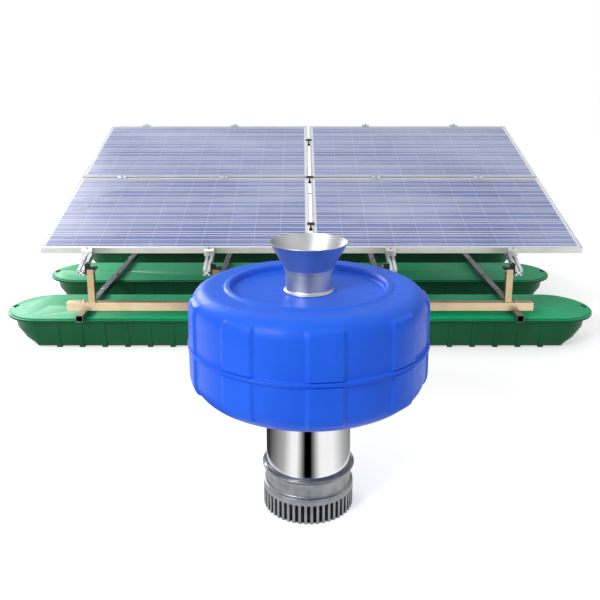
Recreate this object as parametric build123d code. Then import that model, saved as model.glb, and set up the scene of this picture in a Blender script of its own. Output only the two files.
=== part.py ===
from build123d import *
from math import cos, radians, sin, sqrt
import os

os.makedirs("parts", exist_ok=True)

# A solar fountain aerator: a raft of six pontoons that carries four solar panels on a tilted frame,
# and a separate floating fountain pump. Millimetres, +Z up, X across the raft, +Y from the fountain
# to the raft. The origin is on the floor, at the centre of the whole set.

# General clearances
SEAT_GAP = 0.3
RUNNING_GAP = 0.05

# Pontoons: closed moulded floats, two end to end in each of three rows
PONTOON_GAP = 6.0
PONTOON_LENGTH = 1802.0
PONTOON_WIDTH = 524.0
PONTOON_TIP = 230.0
PONTOON_HEIGHT = 195.0
PONTOON_WALL = 6.0
DECK_THICKNESS = 18.0
DECK_EDGE = 16.0
DECK_EDGE_STEP = 5.0
HULL_TOP_INSETS = (46.0, 22.0)
HULL_BEND_INSETS = (54.0, 28.0)
HULL_BILGE_INSETS = (104.0, 36.0)
HULL_FLOOR_INSETS = (200.0, 62.0)
HULL_BEND_Z = 112.0
HULL_BILGE_Z = 58.0
HULL_FLOOR_Z = 10.0
RIB_COUNT = 9
RIB_PITCH = 137.0
RIB_WIDTH = 30.0
RIB_PROUD = 4.0
DECK_RIDGE_WIDTH = 30.0
DECK_RIDGE_HEIGHT = 2.5
DECK_RIDGE_ROOT = 1.0
EYELET_RADIUS = 11.0
EYELET_INSET = 32.0
EYELET_RECESS = (60.0, 30.0)
EYELET_RECESS_DEPTH = 2.0
ROW_PITCH = 830.0
ROW_SHIFT = 38.0
ROW_NAMES = ("front", "middle", "rear")

# Raft frame: square tubes
TUBE_WALL = 3.0
RUNNER_SIZE = 40.0
RUNNER_FRONT = -272.0
RUNNER_REAR = 1950.0
CROSS_SIZE = 50.0
CROSS_HALF_LENGTH = 1390.0
CROSS_FRONT_Y = -155.0
CROSS_REAR_Y = 1700.0
POST_SIZE = 40.0
POST_CAP = 3.0
POST_RISE = 34.0

# Panel rails: slotted aluminium extrusions along the slope
RAIL_X = {"outer_left": -1290.0, "inner_left": -550.0, "inner_right": 550.0, "outer_right": 1290.0}
RAIL_WIDTH = 44.0
RAIL_HEIGHT = 41.0
RAIL_FRONT_OVERHANG = 190.0
RAIL_REAR_OVERHANG = 45.0
SLOT_MOUTH = 9.0
SLOT_LIP = 2.6
SLOT_INNER = 18.0
SLOT_SHOULDER = 6.2
SLOT_DEPTH = 13.0
SLOT_FLOOR = 7.0
RAIL_CORNER_HOLLOW = (4.6, 6.6)
RAIL_CORNER_WALL = 2.2

# Panels: two rows of two, framed laminates
TILT = 17.2
ARRAY_X = 70.0
PANEL_FRONT_Y = -3.0
PANEL_FRONT_Z = 544.0
PANEL_LENGTH = 1640.0
PANEL_WIDTH = 992.0
PANEL_DEPTH = 40.0
PANEL_GAP = 20.0
FRAME_WALL = 2.0
FRAME_LIP = 9.0
FRAME_LEDGE = 12.0
FRAME_FOOT = 30.0
LAMINATE_THICKNESS = 5.0
JUNCTION_BOX = (110.0, 90.0, 20.0)
JUNCTION_BOX_INSET = 150.0

# Panel leads, each a round cable held by the frames
LEAD_RADIUS = 3.0
LEAD_SAG = 14.0
LEAD_LEVEL = 20.0
LEAD_BEND = 24.0

# Clamps, feet and fasteners
CLAMP_WIDTH = 60.0
CLAMP_DEPTH = 34.0
CLAMP_LIP = 9.0
CLAMP_PLATE = 4.0
CLAMP_CHAMFER = 8.0
MID_CLAMP_SPAN = 40.0
MID_CLAMP_STEM = 16.0
CLAMP_BOLT_RADIUS = 4.0
NUT_HEIGHT = 6.5
NUT_ACROSS_FLATS = 13.0
BOLT_ACROSS_FLATS = 19.0
BOLT_HEAD_HEIGHT = 8.0
JOINING_CLIP = (46.0, 30.0, 4.0)
JOINING_CLIP_STEM = 12.0
JOINING_CLIP_V = (300.0, 1002.0, 1700.0)
FOOT_WIDTH = 46.0
FOOT_REACH = 66.0
FOOT_THICKNESS = 9.0
FOOT_HEIGHT = 34.0
FOOT_WEB = 4.0
FOOT_BOLT_ACROSS_FLATS = 15.0
FOOT_BOLT_OFFSET = 10.0
PONTOON_BOLT_OFFSET = 230.0

# Control box on the rear cross tube
BOX_X = 900.0
BOX_WIDTH = 400.0
BOX_DEPTH = 180.0
BOX_HEIGHT = 480.0
BOX_BOTTOM_Z = 320.0
BOX_WALL = 2.0
BOX_LIP = 18.0
GASKET_THICKNESS = 4.0
GASKET_WIDTH = 12.0
DOOR_THICKNESS = 16.0
DOOR_SKIN = 2.0
BRACKET_SIZE = (40.0, 20.0)
BRACKET_SPACING = 300.0
HINGE_RADIUS = 7.0
HINGE_PIN_RADIUS = 3.5
HINGE_KNUCKLE = 24.0
HINGE_OFFSETS = (-160.0, 160.0)
LATCH_SHAFT_RADIUS = 7.0
LATCH_INSET = 36.0
LATCH_CAM = (14.0, 34.0, 3.0)
LATCH_ROSE = (14.0, 6.0)
LATCH_GRIP = (7.0, 15.0, 28.0)
CONTROLLER_SIZE = (200.0, 80.0, 260.0)
CONTROLLER_FINS = 9
CONTROLLER_FIN = (3.0, 22.0)
GLAND_RADIUS = 11.0
GLAND_LENGTH = 26.0
KNOB_RADIUS = 27.0
KNOB_Z = 260.0
KNOB_SHAFT_RADIUS = 5.0
KNOB_DISC = 10.0
KNOB_GRIP = (48.0, 12.0, 20.0)

# Fountain pump: heights are measured up from the floor under its strainer
FOUNTAIN_DISTANCE = 1800.0
FOUNTAIN_X = 32.0
STRAINER_RADIUS = 172.0
STRAINER_WALL = 4.0
STRAINER_HEIGHT = 90.0
STRAINER_SLOTS = 48
STRAINER_SLOT_WIDTH = 12.5
STRAINER_SLOT_TOP = 74.0
STRAINER_FLOOR = 5.0
STRAINER_THROAT = 152.0
COLLAR_HEIGHT = 82.0
COLLAR_WAIST_RADIUS = 162.0
COLLAR_RIM_RADIUS = 176.0
COLLAR_FOOT = (0.5, 9.0)
COLLAR_BLEND = (2.0, 4.0, 10.0)
COLLAR_FLARE = (4.0, 13.0, 22.0)
COLLAR_EDGE = (2.5, 4.0, 5.0)
BELL_MOUTH = (4.0, 6.0, 14.0, 30.0)
THROAT_RADIUS = 118.0
BARREL_RADIUS = 160.0
BARREL_WALL = 3.0
BARREL_SEAT_DEPTH = 8.0
BARREL_RING = (190.0, 8.0)
FLOAT_RADIUS = 433.0
FLOAT_BOTTOM_Z = 470.0
FLOAT_HEIGHT = 400.0
FLOAT_PARTING = 196.0
FLOAT_WALL = 5.0
FLOAT_TOP_CORNER = 70.0
FLOAT_BOTTOM_CORNER = 92.0
FLOAT_FLANGE_RADIUS = 445.0
FLOAT_FLANGE_HALF = 6.0
FLOAT_RIM_RADIUS = 293.0
FLOAT_RIM_HEIGHT = 6.0
FLOAT_RECESS = 20.0
FLOAT_FOOT_RECESS = 14.0
PAD_COUNT = 9
PAD_ANGLE = 16.0
PAD_PROUD = 8.0
PAD_FIRST_ANGLE = -83.3
PAD_TOP_INSET = 32.0
PAD_BOTTOM_INSET = 45.0
HEAD_FLANGE_RADIUS = 205.0
HEAD_FLANGE_THICKNESS = 8.0
HEAD_TOP_Z = 792.0
HEAD_BOLT_COUNT = 8
HEAD_BOLT_CIRCLE = 181.0
NECK_RADIUS = 84.15
NECK_WALL = 3.0
NECK_TOP_Z = 936.0
NECK_CLEARANCE = 2.0
NECK_RING = (93.0, 3.0, 8.0)
FUNNEL_RIM_RADIUS = 143.0
FUNNEL_TOP_Z = 1032.0
FUNNEL_SOCKET = (90.0, 10.0)
FUNNEL_WALL = 3.0
PUMP_GLAND_Z = 895.0

# Pump internals
SHAFT_RADIUS = 14.0
SHAFT_TOP_Z = 606.0
IMPELLER_BOTTOM_Z = 174.0
IMPELLER_HEIGHT = 58.0
IMPELLER_NOSE = (20.0, 22.0, 30.0)
IMPELLER_HUB = (40.0, 50.0)
IMPELLER_TIP_GAP = 1.0
SHAFT_SOCKET_DEPTH = 8.0
BLADE_COUNT = 4
BLADE_THICKNESS = 4.0
BLADE_RADII = (30.0, 75.0, 125.0)
BLADE_CHORDS = (64.0, 84.0, 100.0)
BLADE_ANGLES = (-38.0, -52.0, -62.0)
VANE_COUNT = 7
VANE_THICKNESS = 4.0
VANE_RADII = (40.0, 100.0, 165.0)
VANE_CHORDS = (104.0, 104.0, 104.0)
VANE_ANGLES = (30.0, 26.0, 22.0)
VANE_HUB = (50.0, 56.0, 68.0)
VANE_BOTTOM_Z = 246.0
VANE_TOP_Z = 326.0
SHROUD_TOP_RADIUS = 150.0
SHROUD_WALL = 4.0
SHROUD_FLANGE = 6.0
MOTOR_BOTTOM_Z = 338.0
MOTOR_SHOULDER_Z = 590.0
MOTOR_TOP_Z = 630.0
MOTOR_RADIUS = 105.0
MOTOR_WALL = 5.0
MOTOR_CROWN_RADIUS = 50.0
MOTOR_STUD = (14.0, 24.0)
STATOR_BOTTOM_Z = 380.0
STATOR_HEIGHT = 180.0
AIR_GAP = 1.0
ROTOR_RADIUS = 57.0
WINDING_HEIGHT = 20.0
WINDING_INSET = 8.0
BEARING_RADIUS = 26.0
BEARING_HEIGHT = 16.0
BEARING_BOSS = (8.0, 14.0)
SHAFT_END_GAP = 6.0
SEAL_RADIUS = 22.0
SEAL_HEIGHT = 22.0

# Levels and places worked out from the sizes above
SLOPE_COS = cos(radians(TILT))
SLOPE_SIN = sin(radians(TILT))
ARRAY_DEPTH = 2 * PANEL_WIDTH + PANEL_GAP
RAIL_REAR_V = ARRAY_DEPTH + RAIL_REAR_OVERHANG
SET_REAR = PANEL_FRONT_Y + RAIL_REAR_V * SLOPE_COS + RAIL_HEIGHT * SLOPE_SIN
SET_FRONT = -FOUNTAIN_DISTANCE - FLOAT_FLANGE_RADIUS
RAFT_Y = -(SET_REAR + SET_FRONT) / 2
FOUNTAIN_Y = RAFT_Y - FOUNTAIN_DISTANCE
RUNNER_TOP_Z = PONTOON_HEIGHT + RUNNER_SIZE
CROSS_TOP_Z = RUNNER_TOP_Z + CROSS_SIZE
POST_INSET = (RAIL_WIDTH + POST_SIZE) / 2 + FOOT_THICKNESS
COLLAR_TOP_Z = STRAINER_HEIGHT + COLLAR_HEIGHT
BARREL_BOTTOM_Z = COLLAR_TOP_Z - BARREL_SEAT_DEPTH
PARTING_Z = FLOAT_BOTTOM_Z + FLOAT_PARTING
FLOAT_TOP_Z = FLOAT_BOTTOM_Z + FLOAT_HEIGHT
RECESS_Z = FLOAT_TOP_Z - FLOAT_RECESS
HEAD_SEAT_Z = PARTING_Z - HEAD_FLANGE_THICKNESS
BOX_BACK_Y = CROSS_REAR_Y
BOX_FRONT_Y = BOX_BACK_Y + BOX_DEPTH
DOOR_BACK_Y = BOX_FRONT_Y + GASKET_THICKNESS
DOOR_FRONT_Y = DOOR_BACK_Y + DOOR_THICKNESS
BOX_TOP_Z = BOX_BOTTOM_Z + BOX_HEIGHT
HINGE_X = BOX_X - BOX_WIDTH / 2 - HINGE_RADIUS - SEAT_GAP
HINGE_Y = DOOR_BACK_Y
LATCH_X = BOX_X + BOX_WIDTH / 2 - LATCH_INSET
BOX_MIDDLE_Z = BOX_BOTTOM_Z + BOX_HEIGHT / 2

RAFT = Pos(0, RAFT_Y, 0)
SLOPE = Pos(0, RAFT_Y + PANEL_FRONT_Y, PANEL_FRONT_Z) * Rot(TILT, 0, 0)
FOUNTAIN = Pos(FOUNTAIN_X, FOUNTAIN_Y, 0)


def block(x_range, y_range, z_range):
    """Box between two opposite corners."""
    (x0, x1), (y0, y1), (z0, z1) = x_range, y_range, z_range
    return Pos((x0 + x1) / 2, (y0 + y1) / 2, (z0 + z1) / 2) * Box(x1 - x0, y1 - y0, z1 - z0)


def around(centre, size):
    """Range of a size laid out evenly about a centre."""
    return centre - size / 2, centre + size / 2


def half_section(corners):
    """Face beside the Z axis from (radius, height[, fillet]) corners."""
    points = [(corner[0], corner[1]) for corner in corners]
    radii = [corner[2] if len(corner) > 2 else 0 for corner in corners]
    if any(radii):
        outline = FilletPolyline(*points, radius=radii, close=True)
    else:
        outline = Polyline(*points, close=True)
    return make_face(Plane.XZ * outline)


def turned(corners):
    """Solid of revolution about Z from the corners of its half section."""
    return revolve(half_section(corners), Axis.Z)


def ring(outer, inner, bottom, top):
    """Plain ring about Z."""
    return turned([(inner, bottom), (outer, bottom), (outer, top), (inner, top)])


def drawn_along_x(points, x_range):
    """Prism along X from (y, z) points."""
    plane = Plane((x_range[0], 0, 0), x_dir=(0, 1, 0), z_dir=(1, 0, 0))
    face = make_face(plane * Polyline(*points, close=True))
    return extrude(face, x_range[1] - x_range[0], dir=(1, 0, 0))


def drawn_along_y(points, y_range):
    """Prism along Y from (x, z) points."""
    plane = Plane((0, y_range[1], 0), x_dir=(1, 0, 0), z_dir=(0, -1, 0))
    face = make_face(plane * Polyline(*points, close=True))
    return extrude(face, y_range[1] - y_range[0], dir=(0, -1, 0))


def square_tube(x_range, y_range, z_range, along):
    """Square tube with open ends, along the X, Y or Z axis."""
    ranges = [x_range, y_range, z_range]
    inner = [(low + TUBE_WALL, high - TUBE_WALL) for low, high in ranges]
    axis = "XYZ".index(along)
    inner[axis] = (ranges[axis][0] - 1, ranges[axis][1] + 1)
    return block(*ranges) - block(*inner)


def hex_head(across_flats, height):
    """Hexagon head standing on its origin."""
    return extrude(RegularPolygon(across_flats / 2, 6, major_radius=False), height)


def save(name, *solids):
    """Write one named piece, or one group of like pieces, as a STEP file."""
    bodies = [body for solid in solids for body in solid.solids()]
    whole = bodies[0] if len(bodies) == 1 else Compound(children=bodies)
    whole.label = name
    export_step(whole, f"parts/{name}.step")


# Pontoons

def plan_outline(length, width, tip, z):
    """Boat-like plan: straight sides with an elliptical tip at each end."""
    straight = Rectangle(length - 2 * tip, width)
    tips = [Pos(side * (length / 2 - tip), 0) * Ellipse(tip, width / 2) for side in (-1, 1)]
    return Pos(0, 0, z) * (straight + tips[0] + tips[1])


def hull_loft(wall, top_z):
    """Hull below the deck, drawn in by a wall thickness; its ends and sides round down to the floor."""
    levels = (
        (top_z, HULL_TOP_INSETS),
        (HULL_BEND_Z, HULL_BEND_INSETS),
        (HULL_BILGE_Z, HULL_BILGE_INSETS),
        (HULL_FLOOR_Z + wall, HULL_FLOOR_INSETS),
    )
    sections = []
    for z, (tip_inset, side_inset) in levels:
        length = PONTOON_LENGTH - 2 * (tip_inset + wall)
        width = PONTOON_WIDTH - 2 * (side_inset + wall)
        sections.append(plan_outline(length, width, PONTOON_TIP - tip_inset - wall, z).faces()[0])
    return loft(sections, ruled=True)


def rib(x):
    """Moulded rib that runs down both sides and ends in a foot under the hull."""
    levels = (
        (0, HULL_FLOOR_INSETS),
        (HULL_BILGE_Z, HULL_BILGE_INSETS),
        (HULL_BEND_Z, HULL_BEND_INSETS),
        (PONTOON_HEIGHT - DECK_THICKNESS, HULL_TOP_INSETS),
    )
    right = [(PONTOON_WIDTH / 2 - insets[1] + RIB_PROUD, z) for z, insets in levels]
    left = [(-y, z) for y, z in reversed(right)]
    return drawn_along_x(right + left, around(x, RIB_WIDTH))


def pontoon():
    """One closed float about its own centre, standing on its rib feet."""
    under_deck = PONTOON_HEIGHT - DECK_THICKNESS
    edge_z = PONTOON_HEIGHT - DECK_EDGE_STEP
    rim = extrude(plan_outline(PONTOON_LENGTH, PONTOON_WIDTH, PONTOON_TIP, under_deck), edge_z - under_deck)
    deck_length = PONTOON_LENGTH - 2 * DECK_EDGE
    deck_width = PONTOON_WIDTH - 2 * DECK_EDGE
    deck = extrude(
        plan_outline(deck_length, deck_width, PONTOON_TIP - DECK_EDGE, under_deck), DECK_THICKNESS
    )
    body = rim + deck + hull_loft(0, under_deck)
    for index in range(RIB_COUNT):
        body += rib((index - (RIB_COUNT - 1) / 2) * RIB_PITCH)
    body -= hull_loft(PONTOON_WALL, PONTOON_HEIGHT - PONTOON_WALL)
    for side in (-1, 1):
        eye = Pos(side * (PONTOON_LENGTH / 2 - EYELET_INSET), 0, PONTOON_HEIGHT)
        recess_depth = EYELET_RECESS_DEPTH + DECK_EDGE_STEP
        recess = extrude(Ellipse(EYELET_RECESS[1] / 2, EYELET_RECESS[0] / 2), -recess_depth)
        hole = Pos(0, 0, -PONTOON_HEIGHT / 2) * Cylinder(EYELET_RADIUS, PONTOON_HEIGHT)
        body -= eye * (recess + hole)
    return body


def deck_ridges(centre_x):
    """Raised bead along the deck, broken where the runners lie across it."""
    outer_end = PONTOON_LENGTH / 2 - PONTOON_TIP
    runner_half = RUNNER_SIZE / 2 + PONTOON_GAP
    crossings = sorted(x - centre_x for x in RAIL_X.values() if abs(x - centre_x) < PONTOON_LENGTH / 2)
    edges = [-outer_end] + [x + side * runner_half for x in crossings for side in (-1, 1)] + [outer_end]
    half = DECK_RIDGE_WIDTH / 2
    beads = []
    for start, end in zip(edges[0::2], edges[1::2]):
        root = PONTOON_HEIGHT - DECK_RIDGE_ROOT
        points = [(-half, root), (half, root), (0, PONTOON_HEIGHT + DECK_RIDGE_HEIGHT)]
        beads.append(drawn_along_x(points, (start, end)))
    return beads


def row_y(row):
    """Centre line of one row of pontoons."""
    return ROW_SHIFT + row * ROW_PITCH


def make_pontoons():
    """Six floats in three rows."""
    plain = pontoon()
    for side, side_name in ((-1, "left"), (1, "right")):
        centre_x = side * (PONTOON_LENGTH + PONTOON_GAP) / 2
        whole = plain
        for bead in deck_ridges(centre_x):
            whole += bead
        for row, row_name in enumerate(ROW_NAMES):
            save(f"pontoon_{row_name}_{side_name}", RAFT * Pos(centre_x, row_y(row), 0) * whole)


# Raft frame

def rail_underside(y):
    """Level of the rails' underside above a point of the raft."""
    along = (y - PANEL_FRONT_Y - RAIL_HEIGHT * SLOPE_SIN) / SLOPE_COS
    return PANEL_FRONT_Z + along * SLOPE_SIN - RAIL_HEIGHT * SLOPE_COS


def post_top(y):
    """Level of a post's top: the front posts rise beside their rails, the rear ones end below them."""
    return rail_underside(y) + (POST_RISE if y == CROSS_FRONT_Y else 0)


def post_x(rail_x):
    """Posts stand beside their rails, towards the middle of the raft."""
    return rail_x - POST_INSET if rail_x > 0 else rail_x + POST_INSET


def make_runners():
    """Tubes that lie across the decks from front to rear."""
    for name, x in RAIL_X.items():
        tube = square_tube(
            around(x, RUNNER_SIZE), (RUNNER_FRONT, RUNNER_REAR), (PONTOON_HEIGHT, RUNNER_TOP_Z), "Y"
        )
        save(f"runner_tube_{name}", RAFT * tube)


def make_cross_tubes():
    """Tubes across the runners, which carry the posts."""
    for name, y in (("front", CROSS_FRONT_Y), ("rear", CROSS_REAR_Y)):
        tube = square_tube(
            (-CROSS_HALF_LENGTH, CROSS_HALF_LENGTH), around(y, CROSS_SIZE), (RUNNER_TOP_Z, CROSS_TOP_Z), "X"
        )
        save(f"cross_tube_{name}", RAFT * tube)


def post(x, y):
    """Capped upright on a cross tube."""
    top = post_top(y)
    tube = square_tube(around(x, POST_SIZE), around(y, POST_SIZE), (CROSS_TOP_Z, top), "Z")
    cap = block(around(x, POST_SIZE), around(y, POST_SIZE), (top - POST_CAP, top))
    return tube + cap


def make_posts():
    """Short posts in front and tall posts behind."""
    for name, y in (("front", CROSS_FRONT_Y), ("rear", CROSS_REAR_Y)):
        save(f"{name}_posts", *[RAFT * post(post_x(x), y) for x in RAIL_X.values()])


def rail_foot(rail_x, y):
    """Bracket on a post's top: flat leg, upright leg along the rail's inner side and a short front web."""
    side = 1 if rail_x > 0 else -1
    rail_face = rail_x - side * RAIL_WIDTH / 2
    z = post_top(y)
    front = y - FOOT_WIDTH / 2

    def leg(reach, y_range, z_range):
        return block(sorted((rail_face - side * reach, rail_face)), y_range, z_range)

    flat = leg(FOOT_REACH, around(y, FOOT_WIDTH), (z, z + FOOT_THICKNESS))
    upright = leg(FOOT_THICKNESS, around(y, FOOT_WIDTH), (rail_underside(y), z + FOOT_HEIGHT))
    web = leg(FOOT_REACH / 2, (front, front + FOOT_WEB), (z, z + FOOT_HEIGHT))
    return flat + upright + web


def foot_bolts(rail_x, y):
    """Bolt heads that hold one foot: down into the post's cap, and across into the rail's slot."""
    side = 1 if rail_x > 0 else -1
    slot_z = rail_underside(y) + RAIL_HEIGHT / 2
    head = hex_head(FOOT_BOLT_ACROSS_FLATS, BOLT_HEAD_HEIGHT)
    down = Pos(post_x(rail_x) - side * FOOT_BOLT_OFFSET, y, post_top(y) + FOOT_THICKNESS) * head
    through_post = POST_SIZE if post_top(y) > slot_z else 0
    inner_face = rail_x - side * (RAIL_WIDTH / 2 + FOOT_THICKNESS + through_post)
    across = Pos(inner_face, y, slot_z) * Rot(0, -90 * side, 0) * head
    return [down, across]


def make_feet_and_frame_bolts():
    """Rail feet, and the bolt heads of the feet and of the tube crossings."""
    places = [(x, y) for y in (CROSS_FRONT_Y, CROSS_REAR_Y) for x in RAIL_X.values()]
    save("rail_feet", *[RAFT * rail_foot(x, y) for x, y in places])
    heads = [bolt for x, y in places for bolt in foot_bolts(x, y)]
    heads += [Pos(x, y, CROSS_TOP_Z) * hex_head(BOLT_ACROSS_FLATS, BOLT_HEAD_HEIGHT) for x, y in places]
    save("frame_bolts", *[RAFT * head for head in heads])


def make_pontoon_bolts():
    """Bolt heads near both edges of each deck, apart from the edge that the front cross tube covers."""
    head = hex_head(BOLT_ACROSS_FLATS, BOLT_HEAD_HEIGHT)
    places = [row_y(row) + side * PONTOON_BOLT_OFFSET for row in range(len(ROW_NAMES)) for side in (-1, 1)]
    heads = [RAFT * Pos(x, y, RUNNER_TOP_Z) * head for x in RAIL_X.values() for y in places[1:]]
    save("pontoon_bolts", *heads)


# Rails and panels, drawn flat and then tilted: x across, y up the slope, z away from the rails

def slot_points(reach):
    """Outline of one undercut slot, opening upwards at a face that is a given reach from the centre."""
    half = [
        (SLOT_MOUTH / 2, reach + 1),
        (SLOT_MOUTH / 2, reach - SLOT_LIP),
        (SLOT_INNER / 2, reach - SLOT_LIP),
        (SLOT_INNER / 2, reach - SLOT_SHOULDER),
        (SLOT_FLOOR / 2, reach - SLOT_DEPTH),
    ]
    return half + [(-x, z) for x, z in reversed(half)]


def rail():
    """Extrusion with a slot in each face, whose web forms a cross at the open ends."""
    span = (-RAIL_FRONT_OVERHANG, RAIL_REAR_V)
    half_w, half_h = RAIL_WIDTH / 2, RAIL_HEIGHT / 2
    body = block((-half_w, half_w), span, (-half_h, half_h))
    for quarter in range(4):
        reach = half_h if quarter % 2 == 0 else half_w
        slot = drawn_along_y(slot_points(reach), (span[0] - 1, span[1] + 1))
        body -= Rot(0, 90 * quarter, 0) * slot
    for sx in (-1, 1):
        for sz in (-1, 1):
            cx = sx * (half_w - RAIL_CORNER_WALL - RAIL_CORNER_HOLLOW[0] / 2)
            cz = sz * (half_h - RAIL_CORNER_WALL - RAIL_CORNER_HOLLOW[1] / 2)
            body -= block(
                around(cx, RAIL_CORNER_HOLLOW[0]), (span[0] - 1, span[1] + 1), around(cz, RAIL_CORNER_HOLLOW[1])
            )
    return Pos(0, 0, -half_h) * body


def panel_centres():
    """Name and centre of each panel on the slope."""
    across = (PANEL_LENGTH + PANEL_GAP) / 2
    for row, row_name in enumerate(("front", "rear")):
        for side, side_name in ((-1, "left"), (1, "right")):
            v = PANEL_WIDTH / 2 + row * (PANEL_WIDTH + PANEL_GAP)
            yield f"{row_name}_{side_name}", ARRAY_X + side * across, v


def panel_frame():
    """Hollow-edged frame: foot, outer wall, ledge under the laminate and lip over it."""
    def plate(inset, z_range):
        return block(around(0, PANEL_LENGTH - 2 * inset), around(0, PANEL_WIDTH - 2 * inset), z_range)

    lip_z = PANEL_DEPTH - FRAME_WALL
    seat_z = lip_z - LAMINATE_THICKNESS
    ledge_z = seat_z - FRAME_WALL
    body = plate(0, (0, PANEL_DEPTH))
    body -= plate(FRAME_LIP, (lip_z, PANEL_DEPTH + 1))
    body -= plate(FRAME_WALL, (seat_z, lip_z))
    body -= plate(FRAME_LEDGE, (ledge_z, seat_z))
    body -= plate(FRAME_WALL, (FRAME_WALL, ledge_z))
    body -= plate(FRAME_FOOT, (-1, FRAME_WALL))
    return body


def laminate():
    """Glass, cells and back sheet as one pressed plate, held under the frame's lip."""
    seat_z = PANEL_DEPTH - FRAME_WALL - LAMINATE_THICKNESS
    edge = FRAME_WALL + SEAT_GAP
    width, length = PANEL_LENGTH - 2 * edge, PANEL_WIDTH - 2 * edge
    return block(around(0, width), around(0, length), (seat_z, seat_z + LAMINATE_THICKNESS))


def junction_box():
    """Flat box glued under the laminate near a panel's upper edge."""
    top = PANEL_DEPTH - FRAME_WALL - LAMINATE_THICKNESS
    v = PANEL_WIDTH / 2 - JUNCTION_BOX_INSET
    return block(around(0, JUNCTION_BOX[0]), around(v, JUNCTION_BOX[1]), (top - JUNCTION_BOX[2], top))


def lead(points):
    """Round cable along straight runs joined by bends."""
    path = FilletPolyline(*points, radius=LEAD_BEND)
    start = Plane(origin=path @ 0, z_dir=path % 0)
    return sweep(start * Circle(LEAD_RADIUS), path=path)


def link_route(start, end, dip_from, dip_to):
    """Route between two junction boxes that dips under the edges of the frames between them."""
    def at(share, level):
        return tuple(a + (b - a) * share for a, b in zip(start, end)) + (level,)

    length = sqrt(sum((b - a) ** 2 for a, b in zip(start, end)))
    slant = LEAD_LEVEL + LEAD_SAG
    shares = [0, (dip_from - slant) / length, dip_from / length, dip_to / length, (dip_to + slant) / length, 1]
    levels = [LEAD_LEVEL, LEAD_LEVEL, -LEAD_SAG, -LEAD_SAG, LEAD_LEVEL, LEAD_LEVEL]
    return [at(share, level) for share, level in zip(shares, levels)]


def link_leads():
    """Leads between neighbouring junction boxes."""
    centres = {name: (x, v) for name, x, v in panel_centres()}
    box_v = PANEL_WIDTH / 2 - JUNCTION_BOX_INSET
    leads = []
    for row in ("front", "rear"):
        (left_x, v), (right_x, _) = centres[f"{row}_left"], centres[f"{row}_right"]
        start = (left_x + JUNCTION_BOX[0] / 2, v + box_v)
        end = (right_x - JUNCTION_BOX[0] / 2, v + box_v)
        middle = (end[0] - start[0]) / 2
        reach = PANEL_GAP / 2 + FRAME_FOOT + LEAD_BEND
        leads.append(lead(link_route(start, end, middle - reach, middle + reach)))
    (x, front_v), (_, rear_v) = centres["front_right"], centres["rear_right"]
    start = (x, front_v + box_v + JUNCTION_BOX[1] / 2)
    end = (x, rear_v + box_v - JUNCTION_BOX[1] / 2)
    foot = JUNCTION_BOX_INSET - JUNCTION_BOX[1] / 2 - FRAME_FOOT - LEAD_BEND / 2
    leads.append(lead(link_route(start, end, foot, foot + 2 * FRAME_FOOT + PANEL_GAP + LEAD_BEND)))
    return [SLOPE * cable for cable in leads]


def down_lead():
    """Lead from the rear right junction box straight down into the control box."""
    x, v = {name: (x, v) for name, x, v in panel_centres()}["rear_right"]
    box_bottom = PANEL_DEPTH - FRAME_WALL - LAMINATE_THICKNESS - JUNCTION_BOX[2]
    v_centre = v + PANEL_WIDTH / 2 - JUNCTION_BOX_INSET
    top = (SLOPE * Pos(x, v_centre, box_bottom)).position
    leave = (SLOPE * Pos(x, v_centre, box_bottom - 2 * LEAD_BEND)).position
    gland = Vector(x, RAFT_Y + BOX_BACK_Y + BOX_DEPTH / 2, BOX_TOP_Z + GLAND_LENGTH)
    above = gland + Vector(0, 0, 2 * LEAD_BEND)
    return lead([top, leave, above, gland])


def make_array():
    """Rails, framed panels, junction boxes and leads."""
    plain_rail = rail()
    for name, x in RAIL_X.items():
        save(f"panel_rail_{name}", SLOPE * Pos(x, 0, 0) * plain_rail)
    frame, plate, box = panel_frame(), laminate(), junction_box()
    boxes = []
    for name, x, v in panel_centres():
        save(f"panel_frame_{name}", SLOPE * Pos(x, v, 0) * frame)
        save(f"panel_laminate_{name}", SLOPE * Pos(x, v, 0) * plate)
        boxes.append(SLOPE * Pos(x, v, 0) * box)
    save("junction_boxes", *boxes)
    save("panel_leads", *link_leads(), down_lead())


# Clamps

def clamp_hole(x, v):
    """Clearance hole for a clamp bolt."""
    return Pos(x, v, PANEL_DEPTH / 2) * Cylinder(CLAMP_BOLT_RADIUS + SEAT_GAP, 2 * PANEL_DEPTH)


def end_clamp():
    """Block on the rail that hooks over a panel's edge at y = 0."""
    top = PANEL_DEPTH + CLAMP_PLATE
    points = [
        (-CLAMP_DEPTH, 0),
        (-SEAT_GAP, 0),
        (-SEAT_GAP, PANEL_DEPTH),
        (CLAMP_LIP, PANEL_DEPTH),
        (CLAMP_LIP, top),
        (-CLAMP_DEPTH + CLAMP_CHAMFER, top),
        (-CLAMP_DEPTH, top - CLAMP_CHAMFER),
    ]
    return drawn_along_x(points, around(0, CLAMP_WIDTH)) - clamp_hole(0, -CLAMP_DEPTH / 2)


def mid_clamp():
    """Tee between two rows of panels, about its own centre."""
    plate = block(around(0, CLAMP_WIDTH), around(0, MID_CLAMP_SPAN), (PANEL_DEPTH, PANEL_DEPTH + CLAMP_PLATE))
    stem = block(around(0, CLAMP_WIDTH), around(0, MID_CLAMP_STEM), (0, PANEL_DEPTH))
    return plate + stem - clamp_hole(0, 0)


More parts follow.
